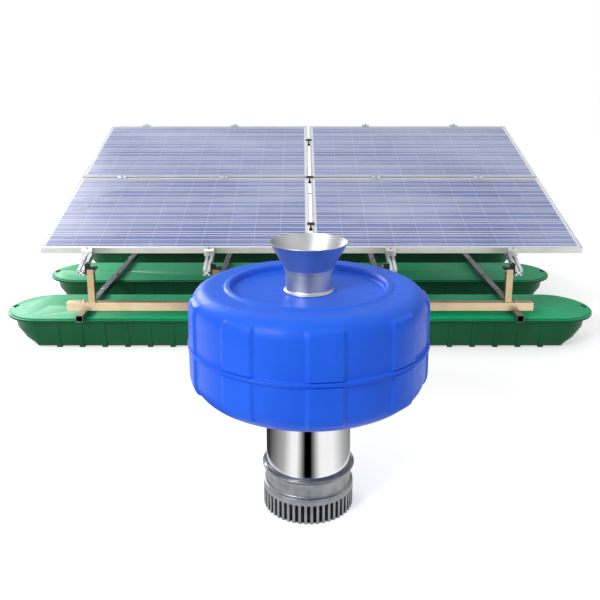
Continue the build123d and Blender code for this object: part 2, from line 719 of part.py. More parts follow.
def clamp_bolt():
    """Hammer-head bolt in the rail's slot with its nut on the clamp."""
    slot_floor = -SLOT_SHOULDER + SEAT_GAP
    head = block(
        around(0, SLOT_INNER - 2), around(0, SLOT_MOUTH - 2), (slot_floor, -SLOT_LIP - SEAT_GAP / 3)
    )
    nut_z = PANEL_DEPTH + CLAMP_PLATE
    stem_top = nut_z + NUT_HEIGHT + CLAMP_BOLT_RADIUS
    stem = Pos(0, 0, (slot_floor + stem_top) / 2) * Cylinder(CLAMP_BOLT_RADIUS, stem_top - slot_floor)
    nut = Pos(0, 0, nut_z) * hex_head(NUT_ACROSS_FLATS, NUT_HEIGHT)
    return head + stem + nut


def joining_clip():
    """Clip that grips the edges of a left and a right panel across their gap."""
    width, length, plate = JOINING_CLIP
    half, stem = width / 2, JOINING_CLIP_STEM / 2
    right = [(stem, 0), (half, 0), (half, -plate)]
    top = [(stem, PANEL_DEPTH), (half, PANEL_DEPTH), (half, PANEL_DEPTH + plate)]
    outline = top[::-1] + right
    outline = outline + [(-x, z) for x, z in reversed(outline)]
    return drawn_along_y(outline, around(0, length))


def make_clamps():
    """End clamps, mid clamps, their bolts, and the clips between the panels."""
    hook, tee, bolt = end_clamp(), mid_clamp(), clamp_bolt()
    row_gap = PANEL_WIDTH + PANEL_GAP / 2
    ends, middles, bolts = [], [], []
    for x in RAIL_X.values():
        ends.append(SLOPE * Pos(x, 0, 0) * hook)
        ends.append(SLOPE * Pos(x, ARRAY_DEPTH, 0) * Rot(0, 0, 180) * hook)
        middles.append(SLOPE * Pos(x, row_gap, 0) * tee)
        for v in (-CLAMP_DEPTH / 2, row_gap, ARRAY_DEPTH + CLAMP_DEPTH / 2):
            bolts.append(SLOPE * Pos(x, v, 0) * bolt)
    save("end_clamps", *ends)
    save("mid_clamps", *middles)
    save("clamp_bolts", *bolts)
    clip = joining_clip()
    save("joining_clips", *[SLOPE * Pos(ARRAY_X, v, 0) * clip for v in JOINING_CLIP_V])


# Control box

def make_box_bracket():
    """Two channels that stand on the rear cross tube and carry the control box."""
    width, depth = BRACKET_SIZE
    uprights = []
    for side in (-1, 1):
        x = BOX_X + side * BRACKET_SPACING / 2
        outer = block(around(x, width), (BOX_BACK_Y - depth, BOX_BACK_Y), (CROSS_TOP_Z, BOX_TOP_Z))
        inner = block(
            around(x, width - 2 * TUBE_WALL),
            (BOX_BACK_Y - depth - 1, BOX_BACK_Y - TUBE_WALL),
            (CROSS_TOP_Z + TUBE_WALL, BOX_TOP_Z + 1),
        )
        uprights.append(RAFT * (outer - inner))
    save("control_box_bracket", *uprights)


def hinge_stack(z, knuckles, radius):
    """Hinge knuckles along the door's pin at one hinge, counted up from its foot."""
    solids = []
    for index in knuckles:
        low = z + (index - 1.5) * (HINGE_KNUCKLE + SEAT_GAP)
        solids.append(Pos(HINGE_X, HINGE_Y, low + HINGE_KNUCKLE / 2) * Cylinder(radius, HINGE_KNUCKLE))
    return solids


def make_control_box():
    """Open-fronted steel box with a folded lip and the fixed hinge knuckles."""
    x_range = around(BOX_X, BOX_WIDTH)
    y_range = (BOX_BACK_Y, BOX_FRONT_Y)
    z_range = (BOX_BOTTOM_Z, BOX_TOP_Z)

    def shrink(span, by):
        return span[0] + by, span[1] - by

    body = block(x_range, y_range, z_range)
    body -= block(shrink(x_range, BOX_WALL), shrink(y_range, BOX_WALL), shrink(z_range, BOX_WALL))
    mouth = (BOX_FRONT_Y - 2 * BOX_WALL, BOX_FRONT_Y + 1)
    body -= block(shrink(x_range, BOX_LIP), mouth, shrink(z_range, BOX_LIP))
    for offset in HINGE_OFFSETS:
        z = BOX_MIDDLE_Z + offset
        for knuckle, index in zip(hinge_stack(z, (0, 2), HINGE_RADIUS), (0, 2)):
            low = z + (index - 1.5) * (HINGE_KNUCKLE + SEAT_GAP)
            leaf = block(
                (HINGE_X - HINGE_RADIUS, x_range[0] + BOX_WALL / 2),
                (BOX_FRONT_Y - 3 * HINGE_RADIUS, BOX_FRONT_Y - HINGE_RADIUS),
                (low, low + HINGE_KNUCKLE),
            )
            neck = block(
                (HINGE_X - HINGE_RADIUS, HINGE_X + HINGE_RADIUS),
                (BOX_FRONT_Y - HINGE_RADIUS - 1, HINGE_Y),
                (low, low + HINGE_KNUCKLE),
            )
            body += knuckle + leaf + neck
        pin_low = z - 1.5 * (HINGE_KNUCKLE + SEAT_GAP)
        pin_high = z + 1.5 * (HINGE_KNUCKLE + SEAT_GAP) - SEAT_GAP
        pin = Pos(HINGE_X, HINGE_Y, (pin_low + pin_high) / 2) * Cylinder(HINGE_PIN_RADIUS, pin_high - pin_low)
        body += pin
    hole_y = (BOX_BACK_Y + BOX_FRONT_Y) / 2
    knob_hole = Pos(x_range[1], hole_y, BOX_BOTTOM_Z + KNOB_Z) * Rot(0, 90, 0) * Cylinder(
        KNOB_SHAFT_RADIUS + RUNNING_GAP, 4 * BOX_WALL
    )
    save("control_box", RAFT * (body - knob_hole))


def make_gasket():
    """Seal between the box's lip and its door."""
    outer = BOX_WALL + SEAT_GAP
    inner = outer + GASKET_WIDTH
    y_range = (BOX_FRONT_Y, DOOR_BACK_Y - SEAT_GAP)

    def plate(inset, y_range):
        return block(
            around(BOX_X, BOX_WIDTH - 2 * inset), y_range, around(BOX_MIDDLE_Z, BOX_HEIGHT - 2 * inset)
        )

    frame = plate(outer, y_range) - plate(inner, (y_range[0] - 1, y_range[1] + 1))
    save("door_gasket", RAFT * frame)


def make_door():
    """Folded door with its own hinge knuckles and a hole for the latch."""
    x_range = around(BOX_X, BOX_WIDTH)
    z_range = (BOX_BOTTOM_Z, BOX_TOP_Z)
    body = block(x_range, (DOOR_BACK_Y, DOOR_FRONT_Y), z_range)
    body -= block(
        (x_range[0] + BOX_LIP, x_range[1] - BOX_LIP),
        (DOOR_BACK_Y - 1, DOOR_FRONT_Y - DOOR_SKIN),
        (z_range[0] + BOX_LIP, z_range[1] - BOX_LIP),
    )
    for offset in HINGE_OFFSETS:
        z = BOX_MIDDLE_Z + offset
        low = z - 0.5 * (HINGE_KNUCKLE + SEAT_GAP)
        leaf_y = (DOOR_BACK_Y, DOOR_BACK_Y + HINGE_RADIUS)
        leaf = block((HINGE_X, x_range[0] + 1), leaf_y, (low, low + HINGE_KNUCKLE))
        body += hinge_stack(z, (1,), HINGE_RADIUS)[0] + leaf
        pin_hole = Pos(HINGE_X, HINGE_Y, z) * Cylinder(HINGE_PIN_RADIUS + RUNNING_GAP, 4 * HINGE_KNUCKLE)
        body -= pin_hole
    latch_hole = Pos(LATCH_X, (DOOR_BACK_Y + DOOR_FRONT_Y) / 2, BOX_MIDDLE_Z) * Rot(90, 0, 0) * Cylinder(
        LATCH_SHAFT_RADIUS + RUNNING_GAP, 4 * DOOR_THICKNESS
    )
    save("box_door", RAFT * (body - latch_hole))


def make_latch():
    """Quarter-turn latch: grip outside, shaft through the door, cam inside."""
    cam_width, cam_length, cam_thickness = LATCH_CAM
    cam_back = BOX_FRONT_Y - 2 * BOX_WALL - SEAT_GAP - cam_thickness
    shaft_front = DOOR_FRONT_Y + SEAT_GAP
    shaft = Rot(90, 0, 0) * Cylinder(LATCH_SHAFT_RADIUS, shaft_front + 1 - cam_back)
    shaft = Pos(LATCH_X, (shaft_front + 1 + cam_back) / 2, BOX_MIDDLE_Z) * shaft
    cam = block(
        around(LATCH_X, cam_width),
        (cam_back, cam_back + cam_thickness),
        (BOX_MIDDLE_Z - cam_width / 2, BOX_MIDDLE_Z + cam_length - cam_width / 2),
    )
    rose_radius, rose_depth = LATCH_ROSE
    rose = Rot(90, 0, 0) * Cylinder(rose_radius, rose_depth)
    rose = Pos(LATCH_X, shaft_front + rose_depth / 2, BOX_MIDDLE_Z) * rose
    grip_width, grip_depth, grip_height = LATCH_GRIP
    grip_back = shaft_front + rose_depth - 1
    grip = block(
        around(LATCH_X, grip_width), (grip_back, grip_back + grip_depth), around(BOX_MIDDLE_Z, grip_height)
    )
    save("door_latch", RAFT * (shaft + cam + rose + grip))


def make_controller():
    """Pump controller with a finned heat sink, fixed to the box's back wall."""
    width, depth, height = CONTROLLER_SIZE
    fin_width, fin_depth = CONTROLLER_FIN
    back = BOX_BACK_Y + BOX_WALL
    z_range = around(BOX_MIDDLE_Z, height)
    body = block(around(BOX_X, width), (back + fin_depth, back + depth), z_range)
    for index in range(CONTROLLER_FINS):
        x = BOX_X + (index / (CONTROLLER_FINS - 1) - 0.5) * (width - fin_width)
        body += block(around(x, fin_width), (back, back + fin_depth + 1), z_range)
    save("pump_controller", RAFT * body)


def gland(radius, length):
    """Cable gland along +Z: hexagon body and rounded nut."""
    return hex_head(2 * radius + 4, length / 3) + Pos(0, 0, length / 2) * Cylinder(radius, length)


def make_glands():
    """Glands of the control box: one on top for the panels' lead, two below for the pump's cable."""
    y = BOX_BACK_Y + BOX_DEPTH / 2
    rear_right = {name: x for name, x, _ in panel_centres()}["rear_right"]
    top = Pos(rear_right, y, BOX_TOP_Z) * gland(GLAND_RADIUS, GLAND_LENGTH)
    below = [
        Pos(BOX_X + side * BOX_WIDTH / 5, y, BOX_BOTTOM_Z) * Rot(180, 0, 0) * gland(GLAND_RADIUS, GLAND_LENGTH)
        for side in (-1, 1)
    ]
    save("box_glands", *[RAFT * piece for piece in [top] + below])


def make_isolator_knob():
    """Rotary isolator knob on the box's right side."""
    x = BOX_X + BOX_WIDTH / 2
    place = Pos(x, (BOX_BACK_Y + BOX_FRONT_Y) / 2, BOX_BOTTOM_Z + KNOB_Z) * Rot(0, 90, 0)
    shaft_in = 3 * BOX_WALL
    disc = Pos(0, 0, SEAT_GAP + KNOB_DISC / 2) * Cylinder(KNOB_RADIUS, KNOB_DISC)
    face = SEAT_GAP + KNOB_DISC
    grip = block(around(0, KNOB_GRIP[0]), around(0, KNOB_GRIP[1]), (face - 1, face + KNOB_GRIP[2]))
    shaft = Pos(0, 0, (SEAT_GAP + 1 - shaft_in) / 2) * Cylinder(KNOB_SHAFT_RADIUS, shaft_in + SEAT_GAP + 1)
    save("isolator_knob", RAFT * place * (disc + grip + shaft))


# Fountain float

def pad_profile(z_low, z_high):
    """Cross-section of one raised pad between two levels, following the float's rounded corners."""
    outer = FLOAT_RADIUS + PAD_PROUD
    inner = FLOAT_RADIUS - 3 * PAD_PROUD
    skin = half_section([
        (0, FLOAT_BOTTOM_Z - PAD_PROUD),
        (outer, FLOAT_BOTTOM_Z - PAD_PROUD, FLOAT_BOTTOM_CORNER + PAD_PROUD),
        (outer, FLOAT_TOP_Z + PAD_PROUD, FLOAT_TOP_CORNER + PAD_PROUD),
        (0, FLOAT_TOP_Z + PAD_PROUD),
    ])
    window = half_section([(inner, z_low), (outer + 1, z_low), (outer + 1, z_high), (inner, z_high)])
    return skin & window


def pads(z_low, z_high, hollow):
    """Ring of raised pads, cut back to the outside of the shell's wall."""
    profile = pad_profile(z_low, z_high)
    solids = []
    for index in range(PAD_COUNT):
        turn = PAD_FIRST_ANGLE + index * 360 / PAD_COUNT - PAD_ANGLE / 2
        pad = Rot(0, 0, turn) * revolve(profile, Axis.Z, PAD_ANGLE)
        solids.append(pad - hollow)
    return solids


def float_upper_shell():
    """Upper half of the float: outer wall, raised rim, recess round the neck and inner sleeve."""
    wall = FLOAT_WALL
    hole = NECK_RADIUS + NECK_CLEARANCE
    sleeve = HEAD_FLANGE_RADIUS + wall / 5
    inner_wall = FLOAT_RADIUS - wall
    rim = FLOAT_RIM_RADIUS
    bead = FLOAT_RIM_HEIGHT
    return turned([
        (FLOAT_FLANGE_RADIUS, PARTING_Z),
        (FLOAT_FLANGE_RADIUS, PARTING_Z + FLOAT_FLANGE_HALF),
        (FLOAT_RADIUS, PARTING_Z + FLOAT_FLANGE_HALF),
        (FLOAT_RADIUS, FLOAT_TOP_Z, FLOAT_TOP_CORNER),
        (rim + 1.5 * bead, FLOAT_TOP_Z),
        (rim + bead, FLOAT_TOP_Z + bead),
        (rim - bead, FLOAT_TOP_Z + bead),
        (rim - 2 * bead, RECESS_Z),
        (hole, RECESS_Z),
        (hole, RECESS_Z - wall),
        (sleeve, RECESS_Z - wall),
        (sleeve, PARTING_Z),
        (sleeve + wall, PARTING_Z),
        (sleeve + wall, RECESS_Z - wall),
        (rim - 2 * bead, RECESS_Z - wall),
        (rim, FLOAT_TOP_Z - wall),
        (inner_wall, FLOAT_TOP_Z - wall, FLOAT_TOP_CORNER - wall),
        (inner_wall, PARTING_Z),
    ])


def float_lower_shell():
    """Lower half of the float: outer wall, foot recess, inner sleeve and the ledge that carries the pump."""
    wall = FLOAT_WALL
    sleeve = BARREL_RADIUS + SEAT_GAP
    foot = BARREL_RING[0] + wall
    inner_wall = FLOAT_RADIUS - wall
    recess_z = FLOAT_BOTTOM_Z + FLOAT_FOOT_RECESS
    return turned([
        (FLOAT_FLANGE_RADIUS, PARTING_Z),
        (FLOAT_FLANGE_RADIUS, PARTING_Z - FLOAT_FLANGE_HALF),
        (FLOAT_RADIUS, PARTING_Z - FLOAT_FLANGE_HALF),
        (FLOAT_RADIUS, FLOAT_BOTTOM_Z, FLOAT_BOTTOM_CORNER),
        (foot, FLOAT_BOTTOM_Z),
        (foot, recess_z),
        (sleeve, recess_z),
        (sleeve, HEAD_SEAT_Z),
        (HEAD_FLANGE_RADIUS, HEAD_SEAT_Z),
        (HEAD_FLANGE_RADIUS, HEAD_SEAT_Z - wall),
        (sleeve + wall, HEAD_SEAT_Z - wall),
        (sleeve + wall, recess_z + wall),
        (foot + wall, recess_z + wall),
        (foot + wall, FLOAT_BOTTOM_Z + wall),
        (inner_wall, FLOAT_BOTTOM_Z + wall, FLOAT_BOTTOM_CORNER - wall),
        (inner_wall, PARTING_Z),
    ])


def make_float():
    """Both halves of the float with their shares of the raised pads."""
    core = turned([
        (0, FLOAT_BOTTOM_Z + FLOAT_WALL / 2),
        (FLOAT_RADIUS - FLOAT_WALL / 2, FLOAT_BOTTOM_Z + FLOAT_WALL / 2, FLOAT_BOTTOM_CORNER - FLOAT_WALL / 2),
        (FLOAT_RADIUS - FLOAT_WALL / 2, FLOAT_TOP_Z - FLOAT_WALL / 2, FLOAT_TOP_CORNER - FLOAT_WALL / 2),
        (0, FLOAT_TOP_Z - FLOAT_WALL / 2),
    ])
    upper = float_upper_shell()
    for pad in pads(PARTING_Z, FLOAT_TOP_Z - PAD_TOP_INSET, core):
        upper += pad
    lower = float_lower_shell()
    for pad in pads(FLOAT_BOTTOM_Z + PAD_BOTTOM_INSET, PARTING_Z, core):
        lower += pad
    save("float_upper_shell", FOUNTAIN * upper)
    save("float_lower_shell", FOUNTAIN * lower)


# Fountain metalwork

def make_strainer():
    """Slotted inlet cup; its bars run down to the floor plate."""
    inner = STRAINER_RADIUS - STRAINER_WALL
    cup = turned([
        (0, 0),
        (STRAINER_RADIUS, 0),
        (STRAINER_RADIUS, STRAINER_HEIGHT),
        (STRAINER_THROAT, STRAINER_HEIGHT),
        (STRAINER_THROAT, STRAINER_HEIGHT - STRAINER_WALL),
        (inner, STRAINER_HEIGHT - STRAINER_WALL),
        (inner, STRAINER_FLOOR),
        (0, STRAINER_FLOOR),
    ])
    slot = block(
        (inner - 1.5, STRAINER_RADIUS + 1), around(0, STRAINER_SLOT_WIDTH), (-1, STRAINER_SLOT_TOP)
    )
    slots = [Rot(0, 0, index * 360 / STRAINER_SLOTS) * slot for index in range(STRAINER_SLOTS)]
    save("strainer", FOUNTAIN * (cup - slots))


def make_collar():
    """Cast inlet collar: flared rim that holds the barrel, waist, flange and bell mouth inside."""
    low, top = STRAINER_HEIGHT, COLLAR_TOP_Z
    waist = COLLAR_WAIST_RADIUS
    socket = BARREL_RADIUS + SEAT_GAP
    foot_radius = STRAINER_RADIUS - COLLAR_FOOT[0]
    foot_top = low + COLLAR_FOOT[1]
    blend_out, blend_low, blend_high = COLLAR_BLEND
    flare_out, flare_high, flare_low = COLLAR_FLARE
    edge_width, edge_height, edge_depth = COLLAR_EDGE
    bell_in, bell_rise, bell_depth, bell_fillet = BELL_MOUTH
    collar = turned([
        (STRAINER_THROAT, low),
        (foot_radius, low),
        (foot_radius, foot_top),
        (waist + blend_out, foot_top + blend_low),
        (waist, foot_top + blend_high),
        (waist, top - flare_low),
        (waist + flare_out, top - flare_high),
        (COLLAR_RIM_RADIUS, top - edge_height),
        (COLLAR_RIM_RADIUS, top),
        (COLLAR_RIM_RADIUS - edge_width, top),
        (socket + 1, top - edge_depth),
        (socket, BARREL_BOTTOM_Z),
        (THROAT_RADIUS, BARREL_BOTTOM_Z),
        (THROAT_RADIUS, BARREL_BOTTOM_Z - bell_depth, bell_fillet),
        (STRAINER_THROAT - bell_in, low + bell_rise),
    ])
    save("inlet_collar", FOUNTAIN * collar)


def make_barrel():
    """Polished outer barrel with a support ring under the float."""
    tube = ring(BARREL_RADIUS, BARREL_RADIUS - BARREL_WALL, BARREL_BOTTOM_Z, HEAD_SEAT_Z)
    ring_radius, ring_height = BARREL_RING
    ring_top = FLOAT_BOTTOM_Z + FLOAT_FOOT_RECESS
    support = ring(ring_radius, BARREL_RADIUS - BARREL_WALL / 2, ring_top - ring_height, ring_top)
    save("pump_barrel", FOUNTAIN * (tube + support))


def make_head():
    """Discharge head: flange on the float's ledge and a cone that gathers the flow."""
    bore = BARREL_RADIUS - BARREL_WALL
    neck_bore = NECK_RADIUS - NECK_WALL
    head = turned([
        (bore, HEAD_SEAT_Z),
        (HEAD_FLANGE_RADIUS, HEAD_SEAT_Z),
        (HEAD_FLANGE_RADIUS, PARTING_Z),
        (BARREL_RADIUS, PARTING_Z),
        (NECK_RADIUS, HEAD_TOP_Z),
        (neck_bore, HEAD_TOP_Z),
        (bore, PARTING_Z - NECK_WALL),
    ])
    save("discharge_head", FOUNTAIN * head)
    bolt = Pos(HEAD_BOLT_CIRCLE, 0, PARTING_Z) * hex_head(BOLT_ACROSS_FLATS, BOLT_HEAD_HEIGHT)
    bolts = [FOUNTAIN * Rot(0, 0, index * 360 / HEAD_BOLT_COUNT) * bolt for index in range(HEAD_BOLT_COUNT)]
    save("head_bolts", *bolts)


def make_neck():
    """Outlet neck with a ring that sits on the float's recess."""
    ring_radius, ring_edge, ring_height = NECK_RING
    neck = turned([
        (NECK_RADIUS - NECK_WALL, HEAD_TOP_Z),
        (NECK_RADIUS, HEAD_TOP_Z),
        (NECK_RADIUS, RECESS_Z),
        (ring_radius, RECESS_Z),
        (ring_radius, RECESS_Z + ring_edge),
        (NECK_RADIUS, RECESS_Z + ring_height),
        (NECK_RADIUS, NECK_TOP_Z),
        (NECK_RADIUS - NECK_WALL, NECK_TOP_Z),
    ])
    place = Pos(0, NECK_RADIUS - NECK_WALL / 2, PUMP_GLAND_Z) * Rot(-90, 0, 0)
    hole = place * Cylinder(GLAND_RADIUS / 2, 4 * NECK_WALL)
    save("nozzle_neck", FOUNTAIN * (neck - hole))
    inlet = Pos(0, NECK_RADIUS, PUMP_GLAND_Z) * Rot(-90, 0, 0) * gland(GLAND_RADIUS, GLAND_LENGTH)
    save("pump_gland", FOUNTAIN * inlet)


def make_funnel():
    """Flared nozzle that seats over the top of the neck."""
    socket_radius, socket_depth = FUNNEL_SOCKET
    bottom = NECK_TOP_Z - socket_depth
    funnel = turned([
        (NECK_RADIUS + SEAT_GAP / 3, bottom),
        (socket_radius, bottom),
        (socket_radius, NECK_TOP_Z + 2),
        (FUNNEL_RIM_RADIUS, FUNNEL_TOP_Z),
        (FUNNEL_RIM_RADIUS - FUNNEL_WALL, FUNNEL_TOP_Z),
        (NECK_RADIUS - NECK_WALL, NECK_TOP_Z),
        (NECK_RADIUS + SEAT_GAP / 3, NECK_TOP_Z),
    ])
    save("nozzle_funnel", FOUNTAIN * funnel)


# Pump internals

def twisted_plate(radii, chords, angles, thickness, z):
    """Plate that reaches out from the axis and twists, from sections at several radii."""
    sections = []
    for radius, chord, angle in zip(radii, chords, angles):
        plane = Plane((radius, 0, z), x_dir=(0, 1, 0), z_dir=(1, 0, 0))
        sections.append((plane * Rot(0, 0, angle) * Rectangle(thickness, chord)).faces()[0])
    return loft(sections)


def make_impeller():
    """Mixed-flow impeller: hub with a nose and twisted blades."""
    low, high = IMPELLER_BOTTOM_Z, IMPELLER_BOTTOM_Z + IMPELLER_HEIGHT
    bore = SHAFT_RADIUS + RUNNING_GAP
    socket = low - SHAFT_SOCKET_DEPTH
    nose_radius, nose_depth, tip_depth = IMPELLER_NOSE
    hub = turned([
        (0, low - tip_depth),
        (nose_radius, low - nose_depth),
        (IMPELLER_HUB[0], low),
        (IMPELLER_HUB[1], high),
        (bore, high),
        (bore, socket),
        (0, socket),
    ])
    reach = THROAT_RADIUS - IMPELLER_TIP_GAP
    blade = twisted_plate(BLADE_RADII, BLADE_CHORDS, BLADE_ANGLES, BLADE_THICKNESS, (low + high) / 2)
    sweep_space = ring(reach, bore + SHROUD_WALL, low, high - 2)
    blade = blade & sweep_space
    impeller = hub
    for index in range(BLADE_COUNT):
        impeller += Rot(0, 0, index * 360 / BLADE_COUNT) * blade
    save("impeller", FOUNTAIN * impeller)


def make_guide_vanes():
    """Guide-vane housing: flanged shroud, seven vanes and the hub that carries motor, seal and bearing."""
    bore = SHAFT_RADIUS + 2
    low = BARREL_BOTTOM_Z
    wall = SHROUD_WALL
    bearing_z = MOTOR_BOTTOM_Z - BEARING_HEIGHT
    seal_z = bearing_z - SEAL_HEIGHT
    shroud = turned([
        (THROAT_RADIUS, low),
        (BARREL_RADIUS - BARREL_WALL - SEAT_GAP, low),
        (BARREL_RADIUS - BARREL_WALL - SEAT_GAP, low + SHROUD_FLANGE),
        (THROAT_RADIUS + wall, low + SHROUD_FLANGE),
        (THROAT_RADIUS + wall, VANE_BOTTOM_Z - 2 * wall - 2),
        (SHROUD_TOP_RADIUS + wall, VANE_TOP_Z + wall),
        (SHROUD_TOP_RADIUS, VANE_TOP_Z + wall),
        (THROAT_RADIUS, VANE_BOTTOM_Z - 2 * wall),
    ])
    hub_root, hub_foot, hub_waist = VANE_HUB
    hub_low = VANE_BOTTOM_Z - 1.5 * wall
    hub = turned([
        (bore, hub_low),
        (hub_foot, hub_low),
        (hub_waist, hub_low + 5 * wall),
        (MOTOR_RADIUS - 1, VANE_TOP_Z + wall),
        (MOTOR_RADIUS - 1, MOTOR_BOTTOM_Z),
        (BEARING_RADIUS + RUNNING_GAP, MOTOR_BOTTOM_Z),
        (BEARING_RADIUS + RUNNING_GAP, bearing_z),
        (SEAL_RADIUS + RUNNING_GAP, bearing_z),
        (SEAL_RADIUS + RUNNING_GAP, seal_z),
        (bore, seal_z),
    ])
    passage = turned([
        (hub_root, VANE_BOTTOM_Z),
        (THROAT_RADIUS + 3 * wall / 4, VANE_BOTTOM_Z),
        (SHROUD_TOP_RADIUS + wall / 2, VANE_TOP_Z),
        (MOTOR_RADIUS - 1.5 * wall, VANE_TOP_Z),
    ])
    vane = twisted_plate(VANE_RADII, VANE_CHORDS, VANE_ANGLES, VANE_THICKNESS, (VANE_BOTTOM_Z + VANE_TOP_Z) / 2)
    vane = vane & passage
    housing = shroud
    for index in range(VANE_COUNT):
        housing += Rot(0, 0, index * 360 / VANE_COUNT) * vane
    save("guide_vane_housing", FOUNTAIN * (housing + hub))


def make_motor():
    """Sealed motor above the vanes: shell, stator, bearings and seal, and the turning parts."""
    inner = MOTOR_RADIUS - MOTOR_WALL
    boss_wall, boss_top = BEARING_BOSS
    boss = BEARING_RADIUS + boss_wall
    upper_bearing_z = SHAFT_TOP_Z - BEARING_HEIGHT - 2
    bearing_bore = BEARING_RADIUS + RUNNING_GAP
    stud_radius, stud_height = MOTOR_STUD
    crown_drop = MOTOR_WALL - 1
    shell = turned([
        (MOTOR_RADIUS, MOTOR_BOTTOM_Z),
        (MOTOR_RADIUS, MOTOR_SHOULDER_Z),
        (MOTOR_CROWN_RADIUS, MOTOR_TOP_Z - crown_drop),
        (stud_radius, MOTOR_TOP_Z),
        (stud_radius, MOTOR_TOP_Z + stud_height),
        (0, MOTOR_TOP_Z + stud_height),
        (0, SHAFT_TOP_Z + SHAFT_END_GAP),
        (bearing_bore, SHAFT_TOP_Z + SHAFT_END_GAP),
        (bearing_bore, upper_bearing_z),
        (boss, upper_bearing_z),
        (boss, MOTOR_TOP_Z - boss_top),
        (inner, MOTOR_SHOULDER_Z - crown_drop),
        (inner, MOTOR_BOTTOM_Z),
    ])
    save("motor_shell", FOUNTAIN * shell)
    stator_top = STATOR_BOTTOM_Z + STATOR_HEIGHT
    stator_bore = ROTOR_RADIUS + AIR_GAP
    core = ring(inner - RUNNING_GAP, stator_bore, STATOR_BOTTOM_Z, stator_top)
    winding = (inner - WINDING_INSET, stator_bore + WINDING_INSET)
    lower = ring(*winding, STATOR_BOTTOM_Z - WINDING_HEIGHT, STATOR_BOTTOM_Z)
    upper = ring(*winding, stator_top, stator_top + WINDING_HEIGHT)
    save("stator", FOUNTAIN * core, FOUNTAIN * lower, FOUNTAIN * upper)
    bearing_z = MOTOR_BOTTOM_Z - BEARING_HEIGHT
    shaft_hole = SHAFT_RADIUS + RUNNING_GAP
    save(
        "bearings_and_seal",
        FOUNTAIN * ring(BEARING_RADIUS, shaft_hole, bearing_z, MOTOR_BOTTOM_Z),
        FOUNTAIN * ring(BEARING_RADIUS, shaft_hole, upper_bearing_z, upper_bearing_z + BEARING_HEIGHT),
        FOUNTAIN * ring(SEAL_RADIUS, shaft_hole, bearing_z - SEAL_HEIGHT, bearing_z),
    )
    shaft_bottom = IMPELLER_BOTTOM_Z - SHAFT_SOCKET_DEPTH
    shaft = Pos(0, 0, (shaft_bottom + SHAFT_TOP_Z) / 2) * Cylinder(SHAFT_RADIUS, SHAFT_TOP_Z - shaft_bottom)
    save("pump_shaft", FOUNTAIN * shaft)
    save("motor_rotor", FOUNTAIN * ring(ROTOR_RADIUS, SHAFT_RADIUS + RUNNING_GAP, STATOR_BOTTOM_Z, stator_top))


make_pontoons()
make_runners()
make_cross_tubes()
make_posts()
make_feet_and_frame_bolts()
make_pontoon_bolts()
make_array()
make_clamps()
make_box_bracket()
make_control_box()
make_gasket()
make_door()
make_latch()
make_controller()
make_glands()
make_isolator_knob()
make_float()
make_strainer()
make_collar()
make_barrel()
make_head()
make_neck()
make_funnel()
make_impeller()
make_guide_vanes()
make_motor()
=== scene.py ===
"""Looks for a solar fountain aerator: a pontoon raft with solar panels and a floating fountain pump.

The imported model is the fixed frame, in metres, +Z up. Each sub-assembly is a class that dresses its own
nodes, and replaces those whose surface needs softer or finer forms. Sizes named here in millimetres
repeat the real object's, and places are read from the frame.
"""

import logging
import math
from dataclasses import dataclass
from enum import Enum
from typing import Sequence

import bmesh
import bpy
from mathutils import Euler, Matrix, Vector

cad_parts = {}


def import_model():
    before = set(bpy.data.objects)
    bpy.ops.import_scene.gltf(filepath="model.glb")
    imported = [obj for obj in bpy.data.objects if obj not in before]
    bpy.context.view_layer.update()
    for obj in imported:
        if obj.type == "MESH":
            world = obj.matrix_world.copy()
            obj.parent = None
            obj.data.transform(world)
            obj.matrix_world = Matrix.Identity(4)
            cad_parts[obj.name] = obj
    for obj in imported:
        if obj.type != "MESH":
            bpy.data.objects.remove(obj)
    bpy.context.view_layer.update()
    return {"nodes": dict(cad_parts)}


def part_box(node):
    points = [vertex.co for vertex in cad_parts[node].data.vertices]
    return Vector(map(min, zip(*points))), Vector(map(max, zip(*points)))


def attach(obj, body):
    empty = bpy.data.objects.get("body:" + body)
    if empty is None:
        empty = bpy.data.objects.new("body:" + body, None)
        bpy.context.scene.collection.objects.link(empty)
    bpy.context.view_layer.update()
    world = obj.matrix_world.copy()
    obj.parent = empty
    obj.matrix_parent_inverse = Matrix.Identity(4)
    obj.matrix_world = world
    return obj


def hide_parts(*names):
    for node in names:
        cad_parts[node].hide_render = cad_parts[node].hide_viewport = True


LOG = logging.getLogger("aerator")
MM = 0.001

Socket = bpy.types.NodeSocket
Tree = bpy.types.NodeTree
Corner = tuple[float, ...]


# Colour and node helpers

def linear(colour: str, alpha: float = 1.0) -> tuple[float, float, float, float]:
    """Turn an sRGB hex colour into linear values.

    Args:
        colour: Six hex digits after a hash mark.
        alpha: Opacity.

    Returns:
        Linear red, green and blue, and the opacity.
    """
    values = []
    for start in (1, 3, 5):
        level = int(colour[start:start + 2], 16) / 255
        values.append(level / 12.92 if level <= 0.04045 else ((level + 0.055) / 1.055) ** 2.4)
    return values[0], values[1], values[2], alpha


def add_node(tree: Tree, kind: str, inputs: dict, **settings: object) -> bpy.types.Node:
    """Add one shader node.

    Args:
        tree: The node tree that gets the node.
        kind: The node's type name.
        inputs: Input name or number, with a socket to link or a value to set.
        settings: Attributes of the node.

    Returns:
        The new node.
    """
    node = tree.nodes.new(kind)
    for name, value in settings.items():
        setattr(node, name, value)
    for key, value in inputs.items():
        if isinstance(value, bpy.types.NodeSocket):
            tree.links.new(value, node.inputs[key])
        else:
            node.inputs[key].default_value = value
    return node


def math_node(tree: Tree, operation: str, first: object, second: object = 0.0, third: object = 0.0) -> Socket:
    """Add one sum and give its result.

    Args:
        tree: The node tree.
        operation: Name of the sum.
        first: First value or socket.
        second: Second value or socket.
        third: Third value or socket.

    Returns:
        The socket with the result.
    """
    return add_node(tree, "ShaderNodeMath", {0: first, 1: second, 2: third}, operation=operation).outputs[0]


